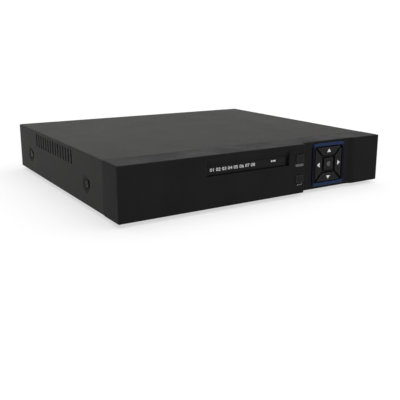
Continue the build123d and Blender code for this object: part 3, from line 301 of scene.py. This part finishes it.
def powder_coat(name, tone, paler, level=0.12):
    """Sprayed and baked coat on folded sheet: orange peel, fine pits, and grey along the bends, where the
    coat is rubbed and where a highlight is painted.
    """
    made, tree, shader = new_material(name)
    skin = use_group(
        tree, "surface_grain", Grain=2600.0, Patch=14.0, Tone=tone, Paler=paler, Roughness=0.5, Spread=0.16
    )
    peel = noise(tree, 620.0, 1.0, 0.4)
    pits = spread(tree, noise(tree, 3400.0, 0.0, 0.5), 0.28, 0.42)
    edge = use_group(tree, "edge_wear_and_highlight", Reach=1.4 * MM, Strength=0.8, Break=140.0)["Mask"]
    film = use_group(tree, "settled_dust", Amount=0.035)["Mask"]
    # Paler bends: rubbed wear and a painted highlight along them.
    rubbed_and_highlit = blend_colours(tree, edge, skin["Colour"], RUBBED_COAT_AND_HIGHLIGHT)
    dusty = blend_colours(tree, film, rubbed_and_highlit, COAT_DUST)
    ripple = maths(tree, "ADD", peel, maths(tree, "MULTIPLY", skin["Height"], 0.5))
    height = maths(tree, "MULTIPLY", ripple, pits)
    fill(tree, shader, {"Base Color": dusty, "Roughness": skin["Roughness"], "Specular IOR Level": level})
    fill(tree, shader, {"Normal": relief(tree, height, 40 * MICRON, 1.1 * MM)})
    return made


def bare_metal(name, tone, darker, rough, stretch=(900.0, 900.0, 900.0), depth=6 * MICRON, tarnish=60.0):
    """Plated, rolled or turned metal: fine lines, and dull patches where it is handled."""
    made, tree, shader = new_material(name)
    lines = use_group(tree, "brushed_lines", Stretch=stretch)
    dull = spread(tree, noise(tree, tarnish, 4.0, 0.6), 0.35, 0.75)
    edge = use_group(tree, "edge_wear_and_highlight", Reach=0.2 * MM, Strength=0.3, Break=700.0)["Mask"]
    toned = blend_colours(tree, maths(tree, "MULTIPLY", dull, 0.6), tone, darker)
    lined = blend_colours(tree, maths(tree, "MULTIPLY", lines["Line"], 0.25), toned, darker)
    polished = colour(*(min(1.0, part * 1.25) for part in tone[:3]))
    bright = blend_colours(tree, edge, lined, polished)
    from_dull = maths(tree, "MULTIPLY", dull, 0.14)
    from_lines = maths(tree, "MULTIPLY", lines["Line"], 0.08)
    rougher = maths(tree, "ADD", from_dull, from_lines)
    fill(tree, shader, {"Base Color": bright, "Metallic": 1.0})
    fill(tree, shader, {"Roughness": maths(tree, "ADD", rougher, rough)})
    fill(tree, shader, {"Normal": relief(tree, lines["Height"], depth)})
    return made


def smoked_acrylic(name):
    """Polished smoked sheet, near black, with wiping hairlines."""
    made, tree, shader = new_material(name)
    skin = use_group(
        tree, "surface_grain", Grain=700.0, Patch=30.0, Tone=colour(0.0062, 0.0062, 0.0066),
        Paler=colour(0.0093, 0.0093, 0.0098), Roughness=0.12, Spread=0.05,
    )
    lines = use_group(tree, "hairline_scratches", Amount=0.35)["Mask"]
    marked = blend_colours(tree, lines, skin["Colour"], colour(0.05, 0.05, 0.055))
    rough = maths(tree, "ADD", skin["Roughness"], maths(tree, "MULTIPLY", lines, 0.5))
    fill(tree, shader, {"Base Color": marked, "Roughness": rough, "Specular IOR Level": 0.09})
    fill(tree, shader, {"Normal": relief(tree, noise(tree, 55.0, 1.0), 60 * MICRON)})
    return made


def blue_moulding(name, centre):
    """Dark blue moulding whose upper and lower rails are painted paler than its sides as painted light, with
    a painted highlight along its edges.
    """
    made, tree, shader = new_material(name)
    skin = use_group(
        tree, "surface_grain", Grain=1500.0, Patch=90.0, Tone=colour(0.0008, 0.0013, 0.0075),
        Paler=colour(0.0016, 0.0026, 0.0120), Roughness=0.36, Spread=0.12,
    )
    parts = add_node(tree, "SeparateXYZ")
    wire(tree, place(tree, location=(-centre.x, 0, -centre.z)), parts.inputs[0])
    across = maths(tree, "ABSOLUTE", parts.outputs["X"], 0.0)
    upward = maths(tree, "ABSOLUTE", parts.outputs["Z"], 0.0)
    # Painted light: the upper and lower rails are paler than the sides.
    painted_light_rails = spread(tree, maths(tree, "SUBTRACT", upward, across), -2.2 * MM, 1.2 * MM)
    lit = blend_colours(tree, painted_light_rails, skin["Colour"], colour(0.0130, 0.029, 0.078))
    edge = use_group(tree, "edge_wear_and_highlight", Reach=0.8 * MM, Strength=0.5, Break=90.0)["Mask"]
    # Painted highlight along the ring's edges, with some wear.
    thin = blend_colours(tree, edge, lit, colour(0.032, 0.05, 0.1))
    fill(tree, shader, {"Base Color": thin, "Roughness": skin["Roughness"], "Specular IOR Level": 0.06})
    fill(tree, shader, {"Normal": relief(tree, skin["Height"], 20 * MICRON)})
    return made


def circuit_board(name):
    """Green solder resist over copper tracks, with plated holes."""
    made, tree, shader = new_material(name)
    skin = use_group(
        tree, "surface_grain", Grain=1600.0, Patch=25.0, Tone=colour(0.008, 0.075, 0.03),
        Paler=colour(0.014, 0.11, 0.045), Roughness=0.33, Spread=0.12,
    )
    tracks = add_node(tree, "TexBrick", offset=0.37, offset_frequency=3, squash=0.6, squash_frequency=2)
    aslant = place(tree, turn=(0, 0, 0.785))
    fill(tree, tracks, {"Vector": aslant, "Scale": 130.0, "Mortar Size": 0.035})
    fill(tree, tracks, {"Color1": colour(0, 0, 0), "Color2": colour(0, 0, 0)})
    fill(tree, tracks, {"Mortar": colour(1, 1, 1)})
    gate = spread(tree, noise(tree, 55.0, 1.0), 0.46, 0.52)
    track = maths(tree, "MULTIPLY", tracks.outputs["Color"], gate)
    holes = add_node(tree, "TexVoronoi", feature="F1")
    fill(tree, holes, {"Vector": place(tree), "Scale": 260.0, "Randomness": 0.55})
    pad = maths(tree, "MULTIPLY", spread(tree, holes.outputs["Distance"], 0.2, 0.16), gate)
    covered = blend_colours(tree, track, skin["Colour"], colour(0.03, 0.2, 0.08))
    plated = blend_colours(tree, pad, covered, colour(0.62, 0.48, 0.2))
    fill(tree, shader, {"Base Color": plated, "Roughness": skin["Roughness"], "Metallic": pad})
    fill(tree, shader, {"Normal": relief(tree, maths(tree, "ADD", track, pad), 30 * MICRON)})
    return made


def two_tone_moulding(name, lower, upper, split, rough):
    """Moulded plastic in two colours, one above the other."""
    made, tree, shader = new_material(name)
    parts = add_node(tree, "SeparateXYZ")
    wire(tree, place(tree), parts.inputs[0])
    above = maths(tree, "GREATER_THAN", parts.outputs["Z"], split)
    both = blend_colours(tree, above, lower, upper)
    skin = use_group(tree, "surface_grain", Grain=1500.0, Patch=80.0, Tone=both, Roughness=rough)
    faded = blend_colours(tree, 0.12, both, colour(0.9, 0.9, 0.88))
    fill(tree, skin["Colour"].node, {"Paler": faded})
    edge = use_group(tree, "edge_wear_and_highlight", Reach=0.4 * MM, Strength=0.4)["Mask"]
    rubbed_and_highlit = blend_colours(tree, edge, skin["Colour"], colour(0.75, 0.62, 0.6))
    fill(tree, shader, {"Base Color": rubbed_and_highlit, "Roughness": skin["Roughness"], "Specular IOR Level": 0.4})
    fill(tree, shader, {"Normal": relief(tree, skin["Height"], 20 * MICRON)})
    return made


def sleeved_can(name):
    """Small electrolytic cans: bare aluminium tops scored across, dark shrunk sleeves round the sides."""
    made, tree, shader = new_material(name)
    parts = add_node(tree, "SeparateXYZ")
    wire(tree, add_node(tree, "NewGeometry").outputs["True Normal"], parts.inputs[0])
    top = maths(tree, "GREATER_THAN", parts.outputs["Z"], 0.8)
    lines = use_group(tree, "brushed_lines", Stretch=(260.0, 2400.0, 800.0))
    can = blend_colours(tree, lines["Line"], colour(0.62, 0.63, 0.65), colour(0.42, 0.43, 0.45))
    skin = use_group(
        tree, "surface_grain", Grain=900.0, Patch=60.0, Tone=colour(0.012, 0.014, 0.03),
        Paler=colour(0.03, 0.034, 0.06), Roughness=0.35,
    )
    rough = maths(tree, "SUBTRACT", skin["Roughness"], maths(tree, "MULTIPLY", top, 0.08))
    fill(tree, shader, {"Base Color": blend_colours(tree, top, skin["Colour"], can)})
    fill(tree, shader, {"Metallic": top, "Roughness": rough})
    fill(tree, shader, {"Normal": relief(tree, lines["Height"], 10 * MICRON)})
    return made


def ribbed_jacket(name, tone, groove_shade, pitch, across, rough):
    """Cable of parallel wires, with a groove at each pitch across it, painted darker there as shade."""
    made, tree, shader = new_material(name)
    wave = add_node(tree, "TexWave", wave_type="BANDS", bands_direction=across, wave_profile="SIN")
    waves = math.pi / (10 * pitch)  # a wave texture of scale 1 repeats every pi / 10
    fill(tree, wave, {"Vector": place(tree), "Scale": waves, "Distortion": 0.0})
    skin = use_group(
        tree, "surface_grain", Grain=1300.0, Patch=70.0, Tone=groove_shade, Paler=tone, Roughness=rough
    )
    rib = spread(tree, wave.outputs["Fac"], 0.1, 0.5)
    # Painted shade: the grooves between the wires are darker.
    lined = blend_colours(tree, rib, groove_shade, skin["Colour"])
    pale = blend_colours(tree, 0.6, lined, tone)
    fill(tree, shader, {"Base Color": pale, "Roughness": skin["Roughness"], "Specular IOR Level": 0.3})
    fill(tree, shader, {"Normal": relief(tree, wave.outputs["Fac"], 0.2 * MM)})
    return made


def clear_lens(name):
    """Clear epoxy lens, faintly milky, with its moulding flow."""
    made, tree, shader = new_material(name)
    skin = use_group(
        tree, "surface_grain", Grain=2400.0, Patch=500.0, Tone=colour(0.55, 0.6, 0.52),
        Paler=colour(0.75, 0.8, 0.7), Roughness=0.12, Spread=0.08,
    )
    fill(tree, shader, {"Base Color": skin["Colour"], "Roughness": skin["Roughness"], "IOR": 1.5})
    fill(tree, shader, {"Transmission Weight": 0.7, "Normal": relief(tree, skin["Height"], 10 * MICRON)})
    return made


def pale_print(name, tone, paler):
    """Screen-printed ink, a little uneven."""
    made, tree, shader = new_material(name)
    skin = use_group(tree, "surface_grain", Grain=3600.0, Patch=420.0, Tone=tone, Paler=paler, Roughness=0.55)
    fill(tree, shader, {"Base Color": skin["Colour"], "Roughness": skin["Roughness"]})
    fill(tree, shader, {"Specular IOR Level": 0.2, "Normal": relief(tree, skin["Height"], 10 * MICRON)})
    return made


rca_low, rca_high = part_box("rca_housings")
finishes = {
    "powder_coat": powder_coat(
        "black_powder_coat", colour(0.0282, 0.0274, 0.0268), colour(0.0390, 0.0379, 0.0370), 0.025
    ),
    "tray_coat": powder_coat(
        "tray_powder_coat", colour(0.016, 0.016, 0.0165), colour(0.024, 0.024, 0.024)
    ),
    # The bezel's paler edges are rubbed wear and a painted highlight.
    "bezel_plastic": moulded_plastic(
        "bezel_moulding",
        colour(0.0115, 0.0114, 0.0118),
        colour(0.0168, 0.0167, 0.0172),
        0.42,
        level=0.02,
        wear=0.4,
    ),
    "smoked_window": smoked_acrylic("smoked_acrylic"),
    "blue_ring": blue_moulding("blue_moulding", middle("pad_ring")),
    # A strong edge mask: painted highlights along the key edges, with their wear.
    "key_plastic": moulded_plastic(
        "key_moulding",
        colour(0.0105, 0.0101, 0.0098),
        colour(0.016, 0.0152, 0.0148),
        0.42,
        2600.0,
        level=0.08,
        wear=1.6,
    ),
    "switch_plastic": moulded_plastic(
        "switch_moulding", colour(0.02, 0.02, 0.02), colour(0.035, 0.035, 0.035), 0.45, level=0.35
    ),
    "board_laminate": circuit_board("green_board"),
    "led_lens": clear_lens("clear_lens"),
    "dark_lens": moulded_plastic(
        "dark_lens", colour(0.012, 0.004, 0.008), colour(0.02, 0.006, 0.012), 0.1, 900.0, 5 * MICRON, 0.5
    ),
    "chip_plastic": moulded_plastic(
        "chip_compound", colour(0.012, 0.012, 0.012), colour(0.024, 0.024, 0.024), 0.55, 1700.0, level=0.35
    ),
    "heatsink_metal": bare_metal(
        "anodised_heatsink", colour(0.24, 0.25, 0.27), colour(0.13, 0.135, 0.15), 0.4, (30.0, 1400.0, 1400.0)
    ),
    "capacitor_can": sleeved_can("sleeved_can"),
    "header_plastic": moulded_plastic(
        "nylon_header", colour(0.56, 0.54, 0.46), colour(0.68, 0.66, 0.58), 0.5, 1200.0, level=0.4
    ),
    "cell_steel": bare_metal("cell_steel", colour(0.66, 0.66, 0.65), colour(0.5, 0.5, 0.48), 0.22),
    "cast_aluminium": bare_metal(
        "cast_aluminium", colour(0.34, 0.345, 0.35), colour(0.2, 0.2, 0.21), 0.45, depth=40 * MICRON
    ),
    "drive_steel": bare_metal(
        "brushed_drive_steel",
        colour(0.56, 0.56, 0.565),
        colour(0.38, 0.38, 0.385),
        0.26,
        (25.0, 2600.0, 2600.0),
    ),
    "socket_plastic": moulded_plastic(
        "socket_moulding", colour(0.012, 0.012, 0.0125), colour(0.022, 0.022, 0.023), 0.48, level=0.35
    ),
    "nickel": bare_metal(
        "nickel_plate", colour(0.66, 0.64, 0.59), colour(0.42, 0.4, 0.36), 0.14, tarnish=180.0
    ),
    "white_insulator": moulded_plastic(
        "white_insulator", colour(0.66, 0.66, 0.63), colour(0.78, 0.78, 0.75), 0.4, 1300.0, level=0.4
    ),
    "gold_contact": bare_metal(
        "gold_plate", colour(0.83, 0.6, 0.24), colour(0.6, 0.4, 0.14), 0.16, tarnish=300.0
    ),
    "rca_plastic": two_tone_moulding(
        "red_and_white_moulding",
        colour(0.42, 0.018, 0.014),
        colour(0.7, 0.69, 0.66),
        (rca_low.z + rca_high.z) / 2,
        0.38,
    ),
    "vga_blue": moulded_plastic(
        "blue_insulator", colour(0.012, 0.06, 0.33), colour(0.02, 0.09, 0.42), 0.4, 1500.0, level=0.4
    ),
    "socket_steel": bare_metal(
        "tinned_shield",
        colour(0.6, 0.6, 0.585),
        colour(0.4, 0.4, 0.385),
        0.24,
        (1800.0, 60.0, 1800.0),
        tarnish=140.0,
    ),
    "black_screw": moulded_plastic(
        "blackened_screw",
        colour(0.009, 0.009, 0.0095),
        colour(0.022, 0.022, 0.023),
        0.34,
        1500.0,
        wear=0.15,
    ),
    "zinc_screw": bare_metal(
        "zinc_plate", colour(0.6, 0.6, 0.57), colour(0.4, 0.4, 0.37), 0.26, tarnish=400.0
    ),
    "brass_standoff": bare_metal("turned_brass", colour(0.72, 0.5, 0.2), colour(0.48, 0.31, 0.11), 0.24),
    "rubber": moulded_plastic(
        "foot_rubber", colour(0.01, 0.01, 0.01), colour(0.02, 0.02, 0.02), 0.75, 1400.0, 60 * MICRON, 0.2, 0.2
    ),
    "data_jacket": ribbed_jacket(
        "red_data_jacket", colour(0.36, 0.02, 0.02), colour(0.2, 0.01, 0.01), 4.0 * MM, "X", 0.4
    ),
    "power_jacket": ribbed_jacket(
        "black_power_sleeve", colour(0.02, 0.02, 0.02), colour(0.008, 0.008, 0.008), 2.2 * MM, "DIAGONAL", 0.5
    ),
    "ribbon_jacket": ribbed_jacket(
        "grey_ribbon_jacket", colour(0.42, 0.42, 0.43), colour(0.24, 0.24, 0.25), 1.27 * MM, "X", 0.45
    ),
}
white_ink = pale_print("white_ink", colour(0.60, 0.60, 0.61), colour(0.80, 0.80, 0.81))
grey_ink = pale_print("grey_ink", colour(0.13, 0.13, 0.132), colour(0.20, 0.20, 0.202))

slot_of_node = {part["node"]: part["material_slot"] for part in frame["record"]["subparts"]}


def finish_cad_nodes():
    for name, made in frame["nodes"].items():
        made.data.materials.clear()
        made.data.materials.append(finishes[slot_of_node[name]])


finish_cad_nodes()


# ---------------------------------------------------------------- printed marks

INK_THICK = 0.04 * MM
INK_SINK = 0.01 * MM  # how far the ink reaches into the face it is printed on
SEAM = 0.001 * MM  # points nearer than this are one


def settle(mesh_data, name, body, ink):
    made = bpy.data.objects.new(name, mesh_data)
    bpy.context.scene.collection.objects.link(made)
    mesh_data.materials.clear()
    mesh_data.materials.append(ink)
    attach(made, body)
    return made


def facing_front(x, y, z):
    """From a mark drawn in XY and facing +Z to one that faces the front, printed on the face at that y."""
    return Matrix.Translation((x, y + INK_SINK, z)) @ Matrix.Rotation(QUARTER_TURN, 4, "X")


def numerals(name, words, wide, tall, where):
    """Plain numerals, centred and fitted to that width and height, as a thin closed mesh."""
    words_data = bpy.data.curves.new(name + "_outline", "FONT")
    words_data.body = words
    words_data.size = tall
    words_data.extrude = INK_THICK / 2
    words_data.offset = 0.012 * tall  # a slightly bolder stroke
    words_data.resolution_u = 3
    drawn = bpy.data.objects.new(name + "_drawn", words_data)
    bpy.context.scene.collection.objects.link(drawn)
    bpy.context.view_layer.update()
    mesh_data = bpy.data.meshes.new_from_object(drawn)
    bpy.data.objects.remove(drawn)
    bpy.data.curves.remove(words_data)
    mesh_data.name = name
    shape = bmesh.new()
    shape.from_mesh(mesh_data)
    bmesh.ops.remove_doubles(shape, verts=shape.verts, dist=SEAM)
    low = min(v.co.x for v in shape.verts)
    high = max(v.co.x for v in shape.verts)
    under = min(v.co.y for v in shape.verts)
    over = max(v.co.y for v in shape.verts)
    centred = Vector((-(low + high) / 2, -(under + over) / 2, INK_THICK / 2))
    bmesh.ops.translate(shape, verts=shape.verts, vec=centred)
    fitted = (wide / (high - low), tall / (over - under), 1)
    bmesh.ops.scale(shape, verts=shape.verts, vec=fitted)
    bmesh.ops.recalc_face_normals(shape, faces=shape.faces)
    bmesh.ops.transform(shape, verts=shape.verts, matrix=where)
    shape.to_mesh(mesh_data)
    shape.free()
    return settle(mesh_data, name, "case", white_ink)


def thicken(shape):
    """A flat outline of faces becomes a thin closed print."""
    pushed = bmesh.ops.extrude_face_region(shape, geom=shape.faces[:])
    corners = [part for part in pushed["geom"] if isinstance(part, bmesh.types.BMVert)]
    bmesh.ops.translate(shape, verts=corners, vec=(0, 0, INK_THICK))
    bmesh.ops.recalc_face_normals(shape, faces=shape.faces)


def add_bar(shape, x, y, wide, tall):
    made = bmesh.ops.create_grid(shape, x_segments=1, y_segments=1, size=0.5)
    bmesh.ops.scale(shape, verts=made["verts"], vec=(wide, tall, 1))
    bmesh.ops.translate(shape, verts=made["verts"], vec=(x, y, 0))


def add_disc(shape, x, y, radius):
    made = bmesh.ops.create_circle(shape, cap_ends=True, radius=radius, segments=20)
    bmesh.ops.translate(shape, verts=made["verts"], vec=(x, y, 0))


def add_arrowhead(shape, x, y, wide, tall, turn):
    """A triangle whose tip is up before it is turned."""
    verts = bmesh.ops.create_circle(shape, cap_ends=True, radius=1, segments=3)["verts"]
    unit_wide, unit_tall = math.sqrt(3), 1.5  # of a triangle whose corners are 1 from its middle
    bmesh.ops.scale(shape, verts=verts, vec=(wide / unit_wide, tall / unit_tall, 1))
    bmesh.ops.rotate(shape, verts=verts, matrix=Matrix.Rotation(turn, 3, "Z"))
    bmesh.ops.translate(shape, verts=verts, vec=(x, y, 0))


def add_ring(shape, radius, line):
    verts = []
    for size in (radius, radius - line):
        verts += bmesh.ops.create_circle(shape, cap_ends=False, radius=size, segments=28)["verts"]
    loops = [edge for edge in shape.edges if edge.verts[0] in verts]
    bmesh.ops.bridge_loops(shape, edges=loops)


def printed(name, draw, where, body="case", ink=white_ink):
    """What draw puts in a mesh becomes a thin print there, which rides on that body."""
    shape = bmesh.new()
    draw(shape)
    thicken(shape)
    bmesh.ops.transform(shape, verts=shape.verts, matrix=where)
    mesh_data = bpy.data.meshes.new(name)
    shape.to_mesh(mesh_data)
    shape.free()
    return settle(mesh_data, name, body, ink)


window_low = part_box("status_window")[0]
front_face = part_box("front_bezel")[0].y
key_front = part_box("up_key")[0].y
pad_middle = (middle("up_key") + middle("down_key")) / 2


def print_window():
    """A row of plain channel numerals, and the two small lamp marks right of it."""
    channels = 8
    row_wide, row_tall = 41.6 * MM, 2.6 * MM
    row_across, row_up = 25.2 * MM, 4.4 * MM  # of their middles, from the window's lower left corner
    lamps_across, lamps_up = 64.0 * MM, 5.1 * MM
    row = " ".join(f"{number:02d}" for number in range(1, channels + 1))
    on_row = facing_front(window_low.x + row_across, window_low.y, window_low.z + row_up)
    numerals("channel_numerals", row, row_wide, row_tall, on_row)

    def lamp_marks(shape):
        add_disc(shape, -1.45 * MM, 0, 0.85 * MM)
        add_bar(shape, 1.2 * MM, 0, 2.3 * MM, 1.3 * MM)

    on_lamps = facing_front(window_low.x + lamps_across, window_low.y, window_low.z + lamps_up)
    printed("lamp_marks", lamp_marks, on_lamps)


def print_key_labels():
    """Under the upper small key three short lines, under the lower one an arrow that turns back."""
    menu, leave = middle("menu_key"), middle("exit_key")
    line_wide, line_tall, line_pitch = 8.4 * MM, 0.46 * MM, 0.72 * MM
    head_wide, head_tall, stroke = 1.9 * MM, 1.6 * MM, 0.5 * MM
    shaft, hook = 3.6 * MM, 0.94 * MM

    def three_lines(shape):
        for step in (-1, 0, 1):
            add_bar(shape, 0, step * line_pitch, line_wide, line_tall)

    def turned_back_arrow(shape):
        add_arrowhead(shape, -1.9 * MM, 0, head_wide, head_tall, QUARTER_TURN)
        add_bar(shape, 0.6 * MM, 0, shaft, stroke)
        add_bar(shape, 2.25 * MM, 0.72 * MM, stroke, hook)

    under_menu = facing_front(menu.x + 0.4 * MM, front_face, menu.z - 5.4 * MM)
    printed("menu_label", three_lines, under_menu, ink=grey_ink)
    under_exit = facing_front(leave.x + 1.0 * MM, front_face, leave.z - 5.0 * MM)
    printed("exit_label", turned_back_arrow, under_exit, ink=grey_ink)


def print_pad_marks():
    """A white arrowhead on each direction key, a ring with a dot on the middle one."""
    reach = 11.2 * MM
    head_wide, head_tall = 4.4 * MM, 3.0 * MM
    ring_radius, ring_line, dot_radius = 1.9 * MM, 0.6 * MM, 0.6 * MM
    for name, turn, across, up in (
        ("up", 0, 0, 1),
        ("left", QUARTER_TURN, -1, 0),
        ("down", 2 * QUARTER_TURN, 0, -1),
        ("right", -QUARTER_TURN, 1, 0),
    ):
        on_key = facing_front(pad_middle.x + across * reach, key_front, pad_middle.z + up * reach)

        def arrow(shape, angle=turn):
            add_arrowhead(shape, 0, 0, head_wide, head_tall, angle)

        printed(f"{name}_arrow", arrow, on_key, f"{name}_button")

    def ring_and_dot(shape):
        add_ring(shape, ring_radius, ring_line)
        add_disc(shape, 0, 0, dot_radius)

    on_enter = facing_front(pad_middle.x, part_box("enter_key")[0].y, pad_middle.z)
    printed("enter_mark", ring_and_dot, on_enter, "enter_button", grey_ink)


print_window()
print_key_labels()
print_pad_marks()


# ---------------------------------------------------------------- studio

FLOOR_HALF = 30.0
FLOOR_DROP = 0.05 * MM  # the floor clears the feet by this
FLOOR_GLOW = 0.62
BACKDROP_STRENGTH = 1.05
FRONT_STRENGTH, BACK_STRENGTH = 0.12, 0.97
LEFT_SHARE = 0.45  # of the light that would else come from the left
SKY_STRENGTH = 2.75
SKY_SPREAD = math.radians(100)
SKY_PLACE = (0.6, -0.5, 2.0)
CAMERA_AZIMUTH, CAMERA_ELEVATION, CAMERA_ROLL = (math.radians(part) for part in (-33.889, 13.803, 0.485))
CAMERA_PLACE = Vector((-0.28732, -0.48747, 0.13017))
CAMERA_SENSOR, CAMERA_LENS = 36.0, 54.439  # both in millimetres
CAMERA_SHIFT = (-0.0614, -0.0423)


def make_floor():
    """A wide pale floor just under the feet, lit a little from below as a light table is."""
    made, tree, shader = new_material("studio_floor")
    skin = use_group(
        tree, "surface_grain", Grain=300.0, Patch=2.0, Tone=colour(0.34, 0.34, 0.34),
        Paler=colour(0.36, 0.36, 0.36), Roughness=0.85, Spread=0.05,
    )
    fill(tree, shader, {"Base Color": skin["Colour"], "Roughness": skin["Roughness"]})
    fill(tree, shader, {"Specular IOR Level": 0.0, "Emission Color": colour(1, 1, 1)})
    fill(tree, shader, {"Emission Strength": FLOOR_GLOW})
    shape = bmesh.new()
    bmesh.ops.create_grid(shape, x_segments=8, y_segments=8, size=FLOOR_HALF)
    bmesh.ops.translate(shape, verts=shape.verts, vec=(0, 0, cad_box[0].z - FLOOR_DROP))
    mesh_data = bpy.data.meshes.new("studio_floor")
    shape.to_mesh(mesh_data)
    shape.free()
    mesh_data.materials.append(made)
    floor = bpy.data.objects.new("studio_floor", mesh_data)
    bpy.context.scene.collection.objects.link(floor)


def make_world():
    """White behind the floor, and round the object a dimmer light, strongest from the back and the right."""
    world = bpy.data.worlds.new("studio")
    bpy.context.scene.world = world
    world.use_nodes = True
    tree = world.node_tree
    seen = tree.nodes["Background"]
    lit = add_node(tree, "Background")
    where = add_node(tree, "SeparateXYZ")
    wire(tree, add_node(tree, "TexCoord").outputs["Generated"], where.inputs[0])
    behind = spread(tree, where.outputs["Y"], -0.4, 0.95, FRONT_STRENGTH, BACK_STRENGTH)
    aside = spread(tree, where.outputs["X"], -1.0, 0.2, LEFT_SHARE, 1.0)
    fill(tree, seen, {"Color": colour(1, 1, 1), "Strength": BACKDROP_STRENGTH})
    fill(tree, lit, {"Color": colour(1, 1, 1), "Strength": maths(tree, "MULTIPLY", behind, aside)})
    pick = add_node(tree, "MixShader")
    wire(tree, add_node(tree, "LightPath").outputs["Is Camera Ray"], pick.inputs[0])
    wire(tree, lit.outputs[0], pick.inputs[1])
    wire(tree, seen.outputs[0], pick.inputs[2])
    wire(tree, pick.outputs[0], tree.nodes["World Output"].inputs["Surface"])


def make_sky_panel():
    """One very soft light from above, a little to the front and the right."""
    lamp = bpy.data.lights.new("sky_panel", "SUN")
    lamp.energy = SKY_STRENGTH
    lamp.angle = SKY_SPREAD
    made = bpy.data.objects.new("sky_panel", lamp)
    bpy.context.scene.collection.objects.link(made)
    towards = (cad_box[0] + cad_box[1]) / 2 - Vector(SKY_PLACE)
    made.location = SKY_PLACE
    made.rotation_mode = "QUATERNION"
    made.rotation_quaternion = towards.to_track_quat("-Z", "Y")


def make_camera():
    """Seen from the front left and a little above."""
    lens_data = bpy.data.cameras.new("studio_camera")
    camera = bpy.data.objects.new("studio_camera", lens_data)
    bpy.context.scene.collection.objects.link(camera)
    level = math.cos(CAMERA_ELEVATION)
    back = Vector(
        (
            math.sin(CAMERA_AZIMUTH) * level,
            -math.cos(CAMERA_AZIMUTH) * level,
            math.sin(CAMERA_ELEVATION),
        )
    )
    right = (-back).cross(Vector((0, 0, 1))).normalized()
    up = right.cross(-back)
    across = math.cos(CAMERA_ROLL) * right + math.sin(CAMERA_ROLL) * up
    upright = -math.sin(CAMERA_ROLL) * right + math.cos(CAMERA_ROLL) * up
    turned = Matrix((across, upright, back)).transposed().to_4x4()
    camera.matrix_world = Matrix.Translation(CAMERA_PLACE) @ turned
    lens_data.sensor_width = CAMERA_SENSOR
    lens_data.lens = CAMERA_LENS
    lens_data.shift_x, lens_data.shift_y = CAMERA_SHIFT
    lens_data.clip_start = 0.01
    lens_data.clip_end = 100.0
    bpy.context.scene.camera = camera


make_floor()
make_world()
make_sky_panel()
make_camera()
bpy.context.scene.view_settings.view_transform = "Standard"
